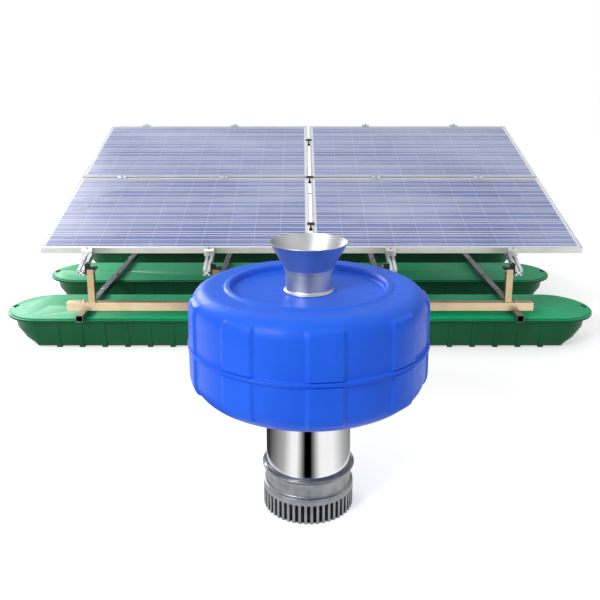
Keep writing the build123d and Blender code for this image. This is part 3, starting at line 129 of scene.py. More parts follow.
def blend_colours(tree: Tree, share: object, first: object, second: object) -> Socket:
    """Mix two colours.

    Args:
        tree: The node tree.
        share: Share of the second colour, a value or socket.
        first: Colour or socket.
        second: Colour or socket.

    Returns:
        The socket with the mixed colour.
    """
    node = add_node(tree, "ShaderNodeMix", {"Factor": share}, data_type="RGBA")
    for index, value in ((6, first), (7, second)):
        if isinstance(value, bpy.types.NodeSocket):
            tree.links.new(value, node.inputs[index])
        else:
            node.inputs[index].default_value = value
    return node.outputs[2]


def fresh_material(name: str) -> tuple[bpy.types.Material, Tree, Socket]:
    """Start a material.

    Args:
        name: Name of the material.

    Returns:
        The material, its node tree, and the Object coordinates.
    """
    material = bpy.data.materials.new(name)
    material.use_nodes = True
    tree = material.node_tree
    tree.nodes.clear()
    coordinates = add_node(tree, "ShaderNodeTexCoord", {}).outputs["Object"]
    return material, tree, coordinates


def finish_material(tree: Tree, inputs: dict) -> None:
    """Close a material with its surface shader.

    Args:
        tree: The node tree.
        inputs: Values and sockets of the shader.
    """
    shader = add_node(tree, "ShaderNodeBsdfPrincipled", inputs)
    add_node(tree, "ShaderNodeOutputMaterial", {"Surface": shader.outputs["BSDF"]})


def noise(tree: Tree, coordinates: Socket, size_mm: float, detail: float = 2.0, **settings: float) -> Socket:
    """Noise whose grain has a real size.

    Args:
        tree: The node tree.
        coordinates: Coordinates in metres.
        size_mm: Rough width of one grain.
        detail: Octaves of finer noise.
        settings: Further inputs of the noise, by name.

    Returns:
        The noise's value.
    """
    inputs = {"Vector": coordinates, "Scale": 1 / (size_mm * MM), "Detail": detail, **settings}
    return add_node(tree, "ShaderNodeTexNoise", inputs).outputs["Fac"]


def stretched(tree: Tree, coordinates: Socket, scale: Sequence[float]) -> Socket:
    """Coordinates drawn out along an axis, for brushing and rolling marks.

    Args:
        tree: The node tree.
        coordinates: Coordinates in metres.
        scale: Scale along X, Y and Z.

    Returns:
        The scaled coordinates.
    """
    return add_node(tree, "ShaderNodeMapping", {"Vector": coordinates, "Scale": scale}).outputs["Vector"]


def ranged(tree: Tree, value: Socket, low: float, high: float, out_low: float, out_high: float) -> Socket:
    """Carry a value from one range to another, clamped.

    Args:
        tree: The node tree.
        value: The value.
        low: Lowest value in.
        high: Highest value in.
        out_low: What the lowest becomes.
        out_high: What the highest becomes.

    Returns:
        The carried value.
    """
    inputs = {"Value": value, "From Min": low, "From Max": high, "To Min": out_low, "To Max": out_high}
    return add_node(tree, "ShaderNodeMapRange", inputs).outputs["Result"]


def grey_ramp(tree: Tree, around: Socket, stops: Sequence[tuple[float, float]]) -> Socket:
    """Turn a direction into a level of grey.

    Args:
        tree: The node tree.
        around: Angle from the front, towards the right, in radians.
        stops: Angle in degrees and level of grey of each stop, from the least angle on.

    Returns:
        The grey as a colour.
    """
    ramp = add_node(tree, "ShaderNodeValToRGB", {"Fac": ranged(tree, around, -math.pi, math.pi, 0.0, 1.0)})
    places = [(degrees + 180) / 360 for degrees, _ in stops]
    points = ramp.color_ramp.elements
    for place in places[1:-1]:
        points.new(place)
    for point, place, (_, level) in zip(points, places, stops):
        point.position = place
        point.color = (level, level, level, 1)
    return ramp.outputs["Color"]


def bump(tree: Tree, height: Socket, depth_mm: float, strength: float = 1.0) -> Socket:
    """Turn a height into a surface direction.

    Args:
        tree: The node tree.
        height: Height from 0 to 1.
        depth_mm: Real depth of the relief.
        strength: Strength of the effect.

    Returns:
        The bent normal.
    """
    inputs = {"Height": height, "Distance": depth_mm * MM, "Strength": strength}
    return add_node(tree, "ShaderNodeBump", inputs).outputs["Normal"]


# Finishes

@dataclass(frozen=True)
class MouldedPolyethylene:
    """Rotationally moulded polyethylene: waxy, softly glossy, with a faint orange-peel skin."""

    name: str
    colour: str
    faded: str
    # Colour of faces that look up: painted top light, lighter than the plastic's own colour
    bleached: str
    roughness: float = 0.34
    mottle_mm: float = 240.0
    peel_mm: float = 9.0
    peel_depth_mm: float = 0.35
    ior: float = 1.51
    specular: float = 0.2

    def build(self) -> bpy.types.Material:
        """Build the material."""
        material, tree, coordinates = fresh_material(self.name)
        patches = ranged(tree, noise(tree, coordinates, self.mottle_mm, 3.0), 0.35, 0.7, 0.0, 1.0)
        scuffs = noise(tree, stretched(tree, coordinates, (0.25, 1.0, 1.0)), 14.0, 4.0)
        colour = blend_colours(tree, patches, linear(self.colour), linear(self.faded))
        # Painted top light: faces that look up blend into the lighter colour, standing in for light from above
        facing = add_node(tree, "ShaderNodeTexCoord", {}).outputs["Normal"]
        skyward = add_node(tree, "ShaderNodeSeparateXYZ", {"Vector": facing}).outputs["Z"]
        sunned = ranged(tree, skyward, 0.45, 0.95, 0.0, 1.0)
        colour = blend_colours(tree, sunned, colour, linear(self.bleached))
        gloss = ranged(tree, scuffs, 0.3, 0.75, self.roughness - 0.05, self.roughness + 0.12)
        normal = bump(tree, noise(tree, coordinates, self.peel_mm, 1.0), self.peel_depth_mm)
        finish_material(tree, {
            "Base Color": colour,
            "Roughness": gloss,
            "Normal": normal,
            "IOR": self.ior,
            "Specular IOR Level": self.specular,
        })
        return material


class Grain(Enum):
    """Direction of a metal's rolling or brushing marks."""

    ALONG_X = (0.02, 1.0, 1.0)
    ALONG_Y = (1.0, 0.02, 1.0)
    ALONG_Z = (1.0, 1.0, 0.02)
    EVEN = (1.0, 1.0, 1.0)


@dataclass(frozen=True)
class WorkedMetal:
    """Bare metal with rolling, brushing or casting marks that spread its reflections."""

    name: str
    colour: str
    dull: str
    roughness: float
    grain: Grain = Grain.EVEN
    mark_mm: float = 2.0
    mark_depth_mm: float = 0.02
    stain_mm: float = 120.0
    spread: float = 0.1
    stain_share: float = 0.6
    metallic: float = 1.0

    def build(self) -> bpy.types.Material:
        """Build the material."""
        material, tree, coordinates = fresh_material(self.name)
        drawn = stretched(tree, coordinates, self.grain.value)
        marks = noise(tree, drawn, self.mark_mm, 3.0)
        stains = ranged(tree, noise(tree, coordinates, self.stain_mm, 4.0), 0.4, 0.72, 0.0, self.stain_share)
        colour = blend_colours(tree, stains, linear(self.colour), linear(self.dull))
        gloss = ranged(tree, marks, 0.25, 0.75, self.roughness - self.spread / 2, self.roughness + self.spread / 2)
        finish_material(tree, {
            "Base Color": colour,
            "Metallic": self.metallic,
            "Roughness": gloss,
            "Normal": bump(tree, marks, self.mark_depth_mm),
        })
        return material


@dataclass(frozen=True)
class MouldedPlastic:
    """Injection-moulded plastic or rubber with a fine spark-eroded texture."""

    name: str
    colour: str
    roughness: float
    texture_mm: float = 1.2
    depth_mm: float = 0.05
    lift: str = "#2a2a2a"

    def build(self) -> bpy.types.Material:
        """Build the material."""
        material, tree, coordinates = fresh_material(self.name)
        wear = ranged(tree, noise(tree, coordinates, 35.0, 4.0), 0.5, 0.8, 0.0, 0.35)
        finish_material(tree, {
            "Base Color": blend_colours(tree, wear, linear(self.colour), linear(self.lift)),
            "Roughness": ranged(tree, wear, 0.0, 0.35, self.roughness, self.roughness + 0.12),
            "Normal": bump(tree, noise(tree, coordinates, self.texture_mm, 2.0), self.depth_mm),
        })
        return material


@dataclass(frozen=True)
class PowderCoat:
    """Powder-coated steel with a fine orange peel."""

    name: str
    colour: str
    roughness: float = 0.42

    def build(self) -> bpy.types.Material:
        """Build the material."""
        material, tree, coordinates = fresh_material(self.name)
        dirt = ranged(tree, noise(tree, coordinates, 180.0, 5.0), 0.5, 0.8, 0.0, 0.3)
        finish_material(tree, {
            "Base Color": blend_colours(tree, dirt, linear(self.colour), linear("#8f8f86")),
            "Roughness": ranged(tree, dirt, 0.0, 0.3, self.roughness, self.roughness + 0.15),
            "Normal": bump(tree, noise(tree, coordinates, 2.5, 1.0), 0.06),
        })
        return material


@dataclass(frozen=True)
class SolarCells:
    """Blue polycrystalline cells behind tempered glass: busbars, white gaps, crystal grain, and a whitish film that is
    partly dusty glass and partly painted glare.

    The busbars and the gaps between the rows are really 1.5 to 3 mm wide, and are drawn 7 mm wide to show.
    """

    name: str
    centre: tuple[float, float, float]
    tilt: float
    length_mm: float = 1640.0
    width_mm: float = 992.0
    pitch_mm: float = 158.75
    columns: int = 10
    rows: int = 6
    gap_mm: float = 3.0
    line_mm: float = 7.0
    busbars: int = 3
    crystal_mm: float = 14.0
    cell: str = "#3f5fae"
    cell_deep: str = "#2c4790"
    sheet: str = "#e6e8f2"
    metal: str = "#dfe3f2"
    # Whitish colour of the film on the glass: partly dusty glass, partly painted glare
    haze: str = "#c4cbe8"

    def plane_coordinates(self, tree: Tree, coordinates: Socket) -> tuple[Socket, Socket]:
        """Place on the panel, in cells, counted from the corner of the cell field.

        Args:
            tree: The node tree.
            coordinates: Object coordinates.

        Returns:
            Position along the panel and across it, in cell pitches.
        """
        turn = Euler((-self.tilt, 0, 0))
        offset = turn.to_matrix() @ Vector(self.centre)
        flat = add_node(tree, "ShaderNodeMapping", {
            "Vector": coordinates, "Rotation": turn[:], "Location": (-offset)[:],
        }).outputs["Vector"]
        axes = add_node(tree, "ShaderNodeSeparateXYZ", {"Vector": flat})
        pitch = self.pitch_mm * MM
        along = math_node(tree, "MULTIPLY_ADD", axes.outputs["X"], 1 / pitch, self.columns / 2)
        across = math_node(tree, "MULTIPLY_ADD", axes.outputs["Y"], 1 / pitch, self.rows / 2)
        return along, across

    def stripe(self, tree: Tree, position: Socket, pitch: float, width: float) -> Socket:
        """Evenly spaced lines.

        Args:
            tree: The node tree.
            position: Position in cells.
            pitch: Distance between lines, in cells.
            width: Width of a line, in cells.

        Returns:
            One on a line and zero off it.
        """
        away = math_node(tree, "PINGPONG", position, pitch / 2)
        return math_node(tree, "LESS_THAN", away, width / 2)

    def build(self) -> bpy.types.Material:
        """Build the material."""
        material, tree, coordinates = fresh_material(self.name)
        along, across = self.plane_coordinates(tree, coordinates)
        line = self.line_mm / self.pitch_mm
        column_gap = self.stripe(tree, along, 1.0, self.gap_mm / self.pitch_mm)
        row_gap = self.stripe(tree, across, 1.0, line)
        offset = math_node(tree, "ADD", across, 0.5 / self.busbars)
        bars = self.stripe(tree, offset, 1.0 / self.busbars, line)
        outside_x = math_node(tree, "GREATER_THAN", math_node(tree, "ABSOLUTE", math_node(
            tree, "SUBTRACT", along, self.columns / 2)), self.columns / 2)
        outside_y = math_node(tree, "GREATER_THAN", math_node(tree, "ABSOLUTE", math_node(
            tree, "SUBTRACT", across, self.rows / 2)), self.rows / 2)
        bare = math_node(tree, "MAXIMUM", row_gap, math_node(tree, "MAXIMUM", outside_x, outside_y))
        crystals = add_node(tree, "ShaderNodeTexVoronoi", {
            "Vector": coordinates, "Scale": 1 / (self.crystal_mm * MM),
        }).outputs["Color"]
        grain = add_node(tree, "ShaderNodeSeparateColor", {"Color": crystals}).outputs["Red"]
        index = add_node(tree, "ShaderNodeCombineXYZ", {
            "X": math_node(tree, "FLOOR", along), "Y": math_node(tree, "FLOOR", across), "Z": self.centre[0],
        }).outputs["Vector"]
        batch = add_node(tree, "ShaderNodeTexWhiteNoise", {"Vector": index}).outputs["Value"]
        shade = math_node(tree, "MULTIPLY_ADD", grain, 0.35, math_node(tree, "MULTIPLY", batch, 0.55))
        colour = blend_colours(tree, shade, linear(self.cell_deep), linear(self.cell))
        # A whitish film in broad patches and streaks over the cells: partly dusty glass, partly painted glare from the
        # glass; the broad patches also vary the roughness
        dust = noise(tree, stretched(tree, coordinates, (0.6, 1.0, 1.0)), 520.0, 3.0)
        streaks = noise(tree, stretched(tree, coordinates, (0.05, 1.0, 1.0)), 30.0, 2.0)
        haze = ranged(tree, math_node(tree, "MULTIPLY_ADD", streaks, 0.35, dust), 0.45, 0.95, 0.06, 0.54)
        colour = blend_colours(tree, haze, colour, linear(self.haze))
        for lines, share, tint in ((column_gap, 0.35, self.sheet), (bars, 0.8, self.metal), (bare, 0.9, self.sheet)):
            colour = blend_colours(tree, math_node(tree, "MULTIPLY", lines, share), colour, linear(tint))
        finish_material(tree, {
            "Base Color": colour,
            "Roughness": ranged(tree, dust, 0.3, 0.7, 0.22, 0.34),
            "Coat Weight": 0.6,
            "Coat Roughness": 0.06,
            "IOR": 1.5,
            "Normal": bump(tree, noise(tree, coordinates, 3.0, 1.0), 0.02),
        })
        return material


class Finish(Enum):
    """Every finish of the object by the maker's plain name, except the cells."""

    # Waxy skin: the sides stay deep green; the decks carry a painted top light in a lighter mint, and spread the lamps'
    # light in a soft sheen
    PONTOON = MouldedPolyethylene(
        "green moulded polyethylene", "#03522d", "#055e36", "#0fba79", roughness=0.38, peel_depth_mm=0.5)
    # Newer, cleaner skin: a deep blue, painted lighter on faces that look up as top light, with small soft lights along
    # the pads' edges
    FLOAT = MouldedPolyethylene(
        "blue moulded polyethylene", "#1659dd", "#1c60e6", "#2467ea", roughness=0.36, peel_depth_mm=0.18)
    # Rolling marks along the tube draw its reflections out sideways; its warm tan cast is a painted reflection
    TUBE_X = WorkedMetal("rolled stainless across", "#dcc6a2", "#c9b28e", 0.3, Grain.ALONG_X, 3.0)
    # The same marks run back under the panels, where the tube is painted dull and dark as shade
    TUBE_Y = WorkedMetal("rolled stainless lengthwise", "#8d9093", "#63666a", 0.3, Grain.ALONG_Y, 3.0)
    # Upright marks stretch the floor's light into a soft streak up the post; its warm tan cast is a painted reflection
    TUBE_Z = WorkedMetal("rolled stainless upright", "#cdb791", "#b7a07c", 0.3, Grain.ALONG_Z, 3.0)
    # Matt silver whose long fine lines show the way it was pressed out
    RAIL = WorkedMetal("anodised aluminium extrusion", "#dfe3e5", "#c3c7c9", 0.38, Grain.ALONG_Y, 1.5)
    # Pale satin edge that sets the dark cells off
    FRAME = WorkedMetal("anodised aluminium frame", "#dcdcda", "#c8c8c6", 0.42, Grain.ALONG_X, 1.5, metallic=0.8)
    # Brighter cut faces, so that the small clamps stand out on the frames
    CLAMP = WorkedMetal("cut aluminium", "#d9dadb", "#b4b6b8", 0.35, Grain.ALONG_X, 1.2)
    # Near black with a dull edge light, as the feet and joining clips look
    BRACKET = WorkedMetal("dark anodised steel", "#2b2c2e", "#191a1b", 0.45, Grain.EVEN, 1.5, metallic=0.7)
    # Small hard glints on each head
    BOLT = WorkedMetal("stainless bolt", "#c7c8c9", "#8f9092", 0.3, Grain.EVEN, 1.0)
    # Near mirror: crisp upright stripes of white, grey and black
    BARREL = WorkedMetal(
        "polished stainless tube", "#f4f4f5", "#e6e7e8", 0.05, Grain.ALONG_Z, 1.6, mark_depth_mm=0.004,
        spread=0.03, stain_share=0.3)
    # Grey and grainy, with blurred lights, against the mirror above it
    CAST = WorkedMetal(
        "pickled stainless casting", "#989a9b", "#6c6f71", 0.4, Grain.EVEN, 6.0, mark_depth_mm=0.25,
        stain_mm=40.0, spread=0.16)
    # Duller than the barrel: broad soft bands round the neck and the funnel
    SHEET = WorkedMetal(
        "spun stainless sheet", "#c9cacc", "#a6a8ab", 0.42, Grain.ALONG_Z, 2.0, mark_depth_mm=0.03,
        stain_mm=90.0, spread=0.1)
    # Soft black without glints
    CABLE = MouldedPlastic("cable jacket", "#0d0d0e", 0.5)
    # Black with a fine grey bloom on its texture
    BLACK = MouldedPlastic("black glass-filled nylon", "#151516", 0.45)
    # Dead matt line round the door
    SEAL = MouldedPlastic("foam rubber seal", "#121212", 0.75, texture_mm=2.0, depth_mm=0.15)
    # Glossy red that is found at once
    KNOB = MouldedPlastic("red moulded knob", "#b1140f", 0.3, lift="#c4302a")
    # Pale, even skin with a slight orange peel
    BOX = PowderCoat("light grey powder coat", "#c9ccc7")
    # Dark ribs that part the lit fins
    CONTROLLER = WorkedMetal("dark anodised casting", "#4a4d50", "#35383b", 0.45, Grain.ALONG_Z, 2.0)
    # Bright plated skin with small mirror lights
    LATCH = WorkedMetal("plated steel", "#dcdddd", "#c3c4c4", 0.14, Grain.EVEN, 1.5)
    # Brown-grey stack of sheets under varnish, with fine lines between them
    IRON = WorkedMetal("varnished core iron", "#6d6a66", "#8a4a2a", 0.5, Grain.ALONG_Z, 0.8, mark_depth_mm=0.1)


class Shop:
    """Builds each finish once and hands it out."""

    def __init__(self) -> None:
        """Start with no finish made."""
        self.made: dict[str, bpy.types.Material] = {}

    def get(self, finish: Finish) -> bpy.types.Material:
        """Give a finish, made on first use.

        Args:
            finish: Which finish.

        Returns:
            Its material.
        """
        if finish.name not in self.made:
            self.made[finish.name] = finish.value.build()
        return self.made[finish.name]


# Mesh helpers

def new_object(name: str, bm: bmesh.types.BMesh, material: bpy.types.Material,
               crease: float = 40.0) -> bpy.types.Object:
    """Turn a bmesh into a finished object at the origin.

    Args:
        name: Name of the piece.
        bm: The shape, in metres, which is freed.
        material: Its finish.
        crease: Edges sharper than this angle, in degrees, stay sharp.

    Returns:
        The object.
    """
    mesh = bpy.data.meshes.new(name)
    bm.to_mesh(mesh)
    bm.free()
    mesh.shade_smooth()
    mesh.set_sharp_from_angle(angle=math.radians(crease))
    mesh.materials.append(material)
    piece = bpy.data.objects.new(name, mesh)
    bpy.context.scene.collection.objects.link(piece)
    return piece


def install(piece: bpy.types.Object, body: str, slot: str, *nodes: str) -> None:
    """Put a finished piece on its body.

    Args:
        piece: The piece.
        body: Name of the body it moves with.
        slot: Name of the record's material slot for the piece; not used.
        nodes: Nodes it stands for.
    """
    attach(piece, body)
    if nodes:
        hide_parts(*nodes)
    LOG.info("piece %s on %s: %d faces", piece.name, body, len(piece.data.polygons))


def repaint(node: bpy.types.Object, material: bpy.types.Material) -> None:
    """Give a carried-over node its finish.

    Args:
        node: The node's object.
        material: Its finish.
    """
    node.data.materials.clear()
    node.data.materials.append(material)


def softened_copy(node: bpy.types.Object, name: str, material: bpy.types.Material, edge_mm: float,
                  segments: int = 2, angle: float = 30.0) -> bpy.types.Object:
    """Copy a node with its edges rounded over.

    Args:
        node: The node to copy.
        name: Name of the new piece.
        material: Its finish.
        edge_mm: Width of the rounding.
        segments: Steps in the rounding.
        angle: Edges sharper than this, in degrees, are rounded.

    Returns:
        The new piece.
    """
    bm = bmesh.new()
    bm.from_mesh(node.data)
    bmesh.ops.remove_doubles(bm, verts=bm.verts, dist=0.02 * MM)
    bmesh.ops.dissolve_limit(bm, angle_limit=math.radians(0.6), verts=bm.verts, edges=bm.edges)
    piece = new_object(name, bm, material)
    bevel = piece.modifiers.new("rounded edges", "BEVEL")
    bevel.width = edge_mm * MM
    bevel.segments = segments
    bevel.limit_method = "ANGLE"
    bevel.angle_limit = math.radians(angle)
    bevel.harden_normals = True
    bevel.miter_outer = "MITER_ARC"
    return piece


def arc(centre: Corner, radius: float, start: float, end: float, steps: int) -> list[Corner]:
    """Points along an arc in the radius-height plane.

    Args:
        centre: Radius and height of the arc's centre, in millimetres.
        radius: Radius of the arc.
        start: First angle, in degrees from the outward direction.
        end: Last angle.
        steps: Number of steps.

    Returns:
        The points, in millimetres.
    """
    points = []
    for index in range(steps + 1):
        angle = math.radians(start + (end - start) * index / steps)
        points.append((centre[0] + radius * math.cos(angle), centre[1] + radius * math.sin(angle)))
    return points


def run(start: Corner, end: Corner, steps: int) -> list[Corner]:
    """Evenly spaced points from just past the start to the end.

    Args:
        start: First point, in millimetres.
        end: Last point.
        steps: Number of steps.

    Returns:
        The points.
    """
    return [
        (start[0] + (end[0] - start[0]) * k / steps, start[1] + (end[1] - start[1]) * k / steps)
        for k in range(1, steps + 1)
    ]


def spun(profile: Sequence[Corner], axis: Vector, steps: int, closed: bool = True) -> bmesh.types.BMesh:
    """Spin a profile round a vertical axis.

    Args:
        profile: Radius and height of each point, in millimetres.
        axis: A point on the axis, on the floor.
        steps: Steps in the full turn.
        closed: Whether the last point joins the first.

    Returns:
        The shape.
    """
    bm = bmesh.new()
    verts = [bm.verts.new((axis.x, axis.y - r * MM, z * MM)) for r, z in profile]
    edges = [bm.edges.new(pair) for pair in zip(verts, verts[1:])]
    if closed:
        edges.append(bm.edges.new((verts[-1], verts[0])))
    bmesh.ops.spin(bm, geom=verts + edges, cent=axis, axis=(0, 0, 1), dvec=(0, 0, 0),
                   angle=math.tau, steps=steps, use_merge=True, use_normal_flip=False, use_duplicate=False)
    bmesh.ops.remove_doubles(bm, verts=bm.verts, dist=0.01 * MM)
    bmesh.ops.recalc_face_normals(bm, faces=bm.faces)
    return bm


def smooth_step(value: float) -> float:
    """Ease from 0 to 1."""
    value = min(max(value, 0.0), 1.0)
    return value * value * (3 - 2 * value)


# Sub-assemblies

@dataclass
class Raft:
    """The six pontoons, the tube frame, the rails, their feet and all fasteners."""

    nodes: dict[str, bpy.types.Object]
    shop: Shop
    tube_edge_mm: float = 3.0
    pontoon_edge_mm: float = 4.0
    small_edge_mm: float = 1.0

    def pontoons(self) -> None:
        """Round the edges of each pontoon's deck, ribs and feet."""
        for name, node in self.nodes.items():
            if name.startswith("pontoon_") and name != "pontoon_bolts":
                piece = softened_copy(node, f"{name}_moulding", self.shop.get(Finish.PONTOON), self.pontoon_edge_mm)
                install(piece, "raft", "pontoon_polyethylene", name)

    def tubes(self) -> None:
        """Dress the square tubes and posts."""
        finishes = {
            "runner_tube_": Finish.TUBE_Y, "cross_tube_": Finish.TUBE_X, "front_posts": Finish.TUBE_Z,
            "rear_posts": Finish.TUBE_Z, "control_box_bracket": Finish.TUBE_Z,
        }
        for name, node in self.nodes.items():
            for start, finish in finishes.items():
                if name.startswith(start):
                    piece = softened_copy(node, f"{name}_rolled", self.shop.get(finish), self.tube_edge_mm)
                    install(piece, "raft", "frame_stainless", name)

    def rails(self) -> None:
        """Dress the slotted rails."""
        for name, node in self.nodes.items():
            if name.startswith("panel_rail_"):
                piece = softened_copy(node, f"{name}_extrusion", self.shop.get(Finish.RAIL), 0.5, 1)
                install(piece, "raft", "rail_aluminium", name)

    def fasteners(self) -> None:
        """Dress the feet, clamps, clips and bolts."""
        choices = {
            "rail_feet": (Finish.BRACKET, "dark_bracket", 1.2),
            "joining_clips": (Finish.BRACKET, "dark_bracket", 0.8),
            "end_clamps": (Finish.CLAMP, "clamp_aluminium", 1.0),
            "mid_clamps": (Finish.CLAMP, "clamp_aluminium", 1.0),
            "clamp_bolts": (Finish.BOLT, "bolt_stainless", 0.6),
            "frame_bolts": (Finish.BOLT, "bolt_stainless", 0.9),
            "pontoon_bolts": (Finish.BOLT, "bolt_stainless", 0.9),
        }
        for name, (finish, slot, edge) in choices.items():
            piece = softened_copy(self.nodes[name], f"{name}_dressed", self.shop.get(finish), edge)
            install(piece, "raft", slot, name)

    def build(self) -> None:
        """Build all of the raft."""
        self.pontoons()
        self.tubes()
        self.rails()
        self.fasteners()


@dataclass
class Array:
    """The four framed panels with their junction boxes and leads."""

    nodes: dict[str, bpy.types.Object]
    shop: Shop
    frame_edge_mm: float = 0.8
    tilt_degrees: float = 17.2

    def laminates(self) -> None:
        """Give each laminate its own cells."""
        tilt = math.radians(self.tilt_degrees)
        for name, node in self.nodes.items():
            if name.startswith("panel_laminate_"):
                low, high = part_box(name)
                centre = (low + high) / 2
                finish = SolarCells(f"cells {name[15:]}", tuple(centre), tilt)
                repaint(node, finish.build())
                LOG.info("cells on %s", name)

    def frames(self) -> None:
        """Round the frames' edges."""
        for name, node in self.nodes.items():
            if name.startswith("panel_frame_"):
                piece = softened_copy(node, f"{name}_anodised", self.shop.get(Finish.FRAME), self.frame_edge_mm, 1)
                install(piece, "raft", "rail_aluminium", name)

    def wiring(self) -> None:
        """Dress the junction boxes and leads."""
        box = softened_copy(self.nodes["junction_boxes"], "junction_boxes_moulded", self.shop.get(Finish.BLACK), 2.0)
        install(box, "raft", "black_plastic", "junction_boxes")
        repaint(self.nodes["panel_leads"], self.shop.get(Finish.CABLE))

    def build(self) -> None:
        """Build the array."""
        self.laminates()
        self.frames()
        self.wiring()


@dataclass
class ControlBox:
    """The control box on the rear cross tube, with its door, latch, knob and contents."""

    nodes: dict[str, bpy.types.Object]
    shop: Shop

    def build(self) -> None:
        """Dress every piece of the control box."""
        choices = {
            "control_box": ("raft", Finish.BOX, "box_paint", 0.8),
            "box_door": ("door", Finish.BOX, "box_paint", 1.2),
            "door_latch": ("latch", Finish.LATCH, "latch_chrome", 0.8),
            "isolator_knob": ("isolator", Finish.KNOB, "knob_red", 1.5),
            "pump_controller": ("raft", Finish.CONTROLLER, "controller_case", 1.0),
            "box_glands": ("raft", Finish.BLACK, "black_plastic", 1.0),
        }
        for name, (body, finish, slot, edge) in choices.items():
            piece = softened_copy(self.nodes[name], f"{name}_dressed", self.shop.get(finish), edge)
            install(piece, body, slot, name)
        repaint(self.nodes["door_gasket"], self.shop.get(Finish.SEAL))


@dataclass
class FountainFloat:
    """The two-part blue float with its raised pads."""

    nodes: dict[str, bpy.types.Object]
    shop: Shop
    axis: Vector
    radius: float = 433.0
    bottom: float = 470.0
    top: float = 870.0
    parting: float = 666.0
    wall: float = 5.0
    top_corner: float = 70.0
    bottom_corner: float = 92.0
    flange_radius: float = 445.0
    flange_half: float = 6.0
    rim_radius: float = 293.0
    rim_height: float = 6.0
    recess: float = 20.0
    hole: float = 86.15
    sleeve: float = 206.0
    pad_count: int = 9
    pad_half_angle: float = 8.0
    pad_first: float = -83.3
    pad_proud: float = 8.0
    pad_edge: float = 11.0
    pad_top: float = 838.0
    pad_bottom: float = 515.0
    steps: int = 540

    def raise_pads(self, bm: bmesh.types.BMesh) -> None:
        """Move the outer wall out where a pad stands.

        Args:
            bm: The spun shell.
        """
        pitch = 360 / self.pad_count
        for vert in bm.verts:
            away = vert.co - self.axis
            radius = math.hypot(away.x, away.y) / MM
            height = vert.co.z / MM
            if radius < self.radius - 60 or radius > self.radius + 1:
                continue
            inside_top = self.skin_depth(radius, height)
            if inside_top > 1.0:
                continue
            turn = math.degrees(math.atan2(away.y, away.x)) - self.pad_first
            offset = abs((turn + pitch / 2) % pitch - pitch / 2)
            side = (self.pad_half_angle - offset) * math.pi / 180 * self.radius / self.pad_edge
            level = min(self.pad_top - height, height - self.pad_bottom) / self.pad_edge
            rise = self.pad_proud * smooth_step(side + 0.5) * smooth_step(level + 0.5)
            if rise > 0:
                normal = vert.normal if vert.normal.dot(Vector((away.x, away.y, 0))) > 0 else -vert.normal
                vert.co += normal * rise * MM

    def skin_depth(self, radius: float, height: float) -> float:
        """Depth of a point under the plain float's outer skin.

        Args:
            radius: Distance from the axis, in millimetres.
            height: Height, in millimetres.

        Returns:
            The depth, in millimetres.
        """
        for corner, centre_z, upper in (
            (self.top_corner, self.top - self.top_corner, True),
            (self.bottom_corner, self.bottom + self.bottom_corner, False),
        ):
            beyond = height - centre_z if upper else centre_z - height
            centre_r = self.radius - corner
            if beyond > 0 and radius > centre_r:
                return corner - math.hypot(radius - centre_r, beyond)
        return self.radius - radius

    def upper_profile(self) -> list[Corner]:
        """Outline of the upper shell, from its flange over the top and back inside."""
        top, radius, wall, rim, bead = self.top, self.radius, self.wall, self.rim_radius, self.rim_height
        flange = self.parting + self.flange_half
        corner = self.top_corner
        points = [(self.flange_radius - 1.5, self.parting), (self.flange_radius, self.parting + 1.5)]
        points += arc((self.flange_radius - 3, flange - 3), 3, 0, 90, 4)
        points += arc((radius + 4, flange + 4), 4, 270, 180, 4)
        points += run((radius, flange + 4), (radius, top - corner), 28)
        points += arc((radius - corner, top - corner), corner, 0, 90, 18)[1:]
        points += run((radius - corner, top), (rim + 3 * bead, top), 8)
        points += run((rim + 3 * bead, top), (rim + 1.6 * bead, top + bead * 0.9), 3)
        points += arc((rim, top + bead - 6), 6, 60, 125, 6)
        points += [(rim - 1.6 * bead, top - 4)]
        points += arc((rim - 3.4 * bead, top - self.recess + 8), 8, -10, -90, 5)
        points += run((rim - 3.4 * bead, top - self.recess), (self.hole + 3, top - self.recess), 10)
        points += arc((self.hole + 3, top - self.recess - 2), 2, 90, 180, 3)
        points += [(self.hole, top - self.recess - wall), (self.sleeve, top - self.recess - wall)]
        points += [(self.sleeve, self.parting), (self.sleeve + wall, self.parting)]
        points += [(self.sleeve + wall, top - self.recess - wall), (rim - 3 * bead, top - self.recess - wall)]
        points += [(rim, top - wall)]
        points += arc((radius - corner, top - corner), corner - wall, 90, 0, 8)
        points += [(radius - wall, self.parting)]
        return points

    def lower_profile(self) -> list[Corner]:
        """Outline of the lower shell, from its flange under the bottom and back inside."""
        bottom, radius, wall = self.bottom, self.radius, self.wall
        flange = self.parting - self.flange_half
        corner = self.bottom_corner
        barrel, ring, seat = 160.3, 195.0, self.parting - 8
        foot = bottom + 14
        points = [(self.flange_radius - 1.5, self.parting), (self.flange_radius, self.parting - 1.5)]
        points += arc((self.flange_radius - 3, flange + 3), 3, 0, -90, 4)
        points += arc((radius + 4, flange - 4), 4, 90, 180, 4)
        points += run((radius, flange - 4), (radius, bottom + corner), 22)
        points += arc((radius - corner, bottom + corner), corner, 0, -90, 22)[1:]
        points += run((radius - corner, bottom), (ring + 4, bottom), 8)
        points += arc((ring + 4, bottom + 4), 4, 270, 180, 3)
        points += [(ring, foot), (barrel, foot), (barrel, seat), (205.0, seat), (205.0, seat - wall)]
        points += [(barrel + wall, seat - wall), (barrel + wall, foot + wall), (ring + wall, foot + wall)]
        points += [(ring + wall, bottom + wall)]
        points += arc((radius - corner, bottom + corner), corner - wall, -90, 0, 8)
        points += [(radius - wall, self.parting)]
        return points

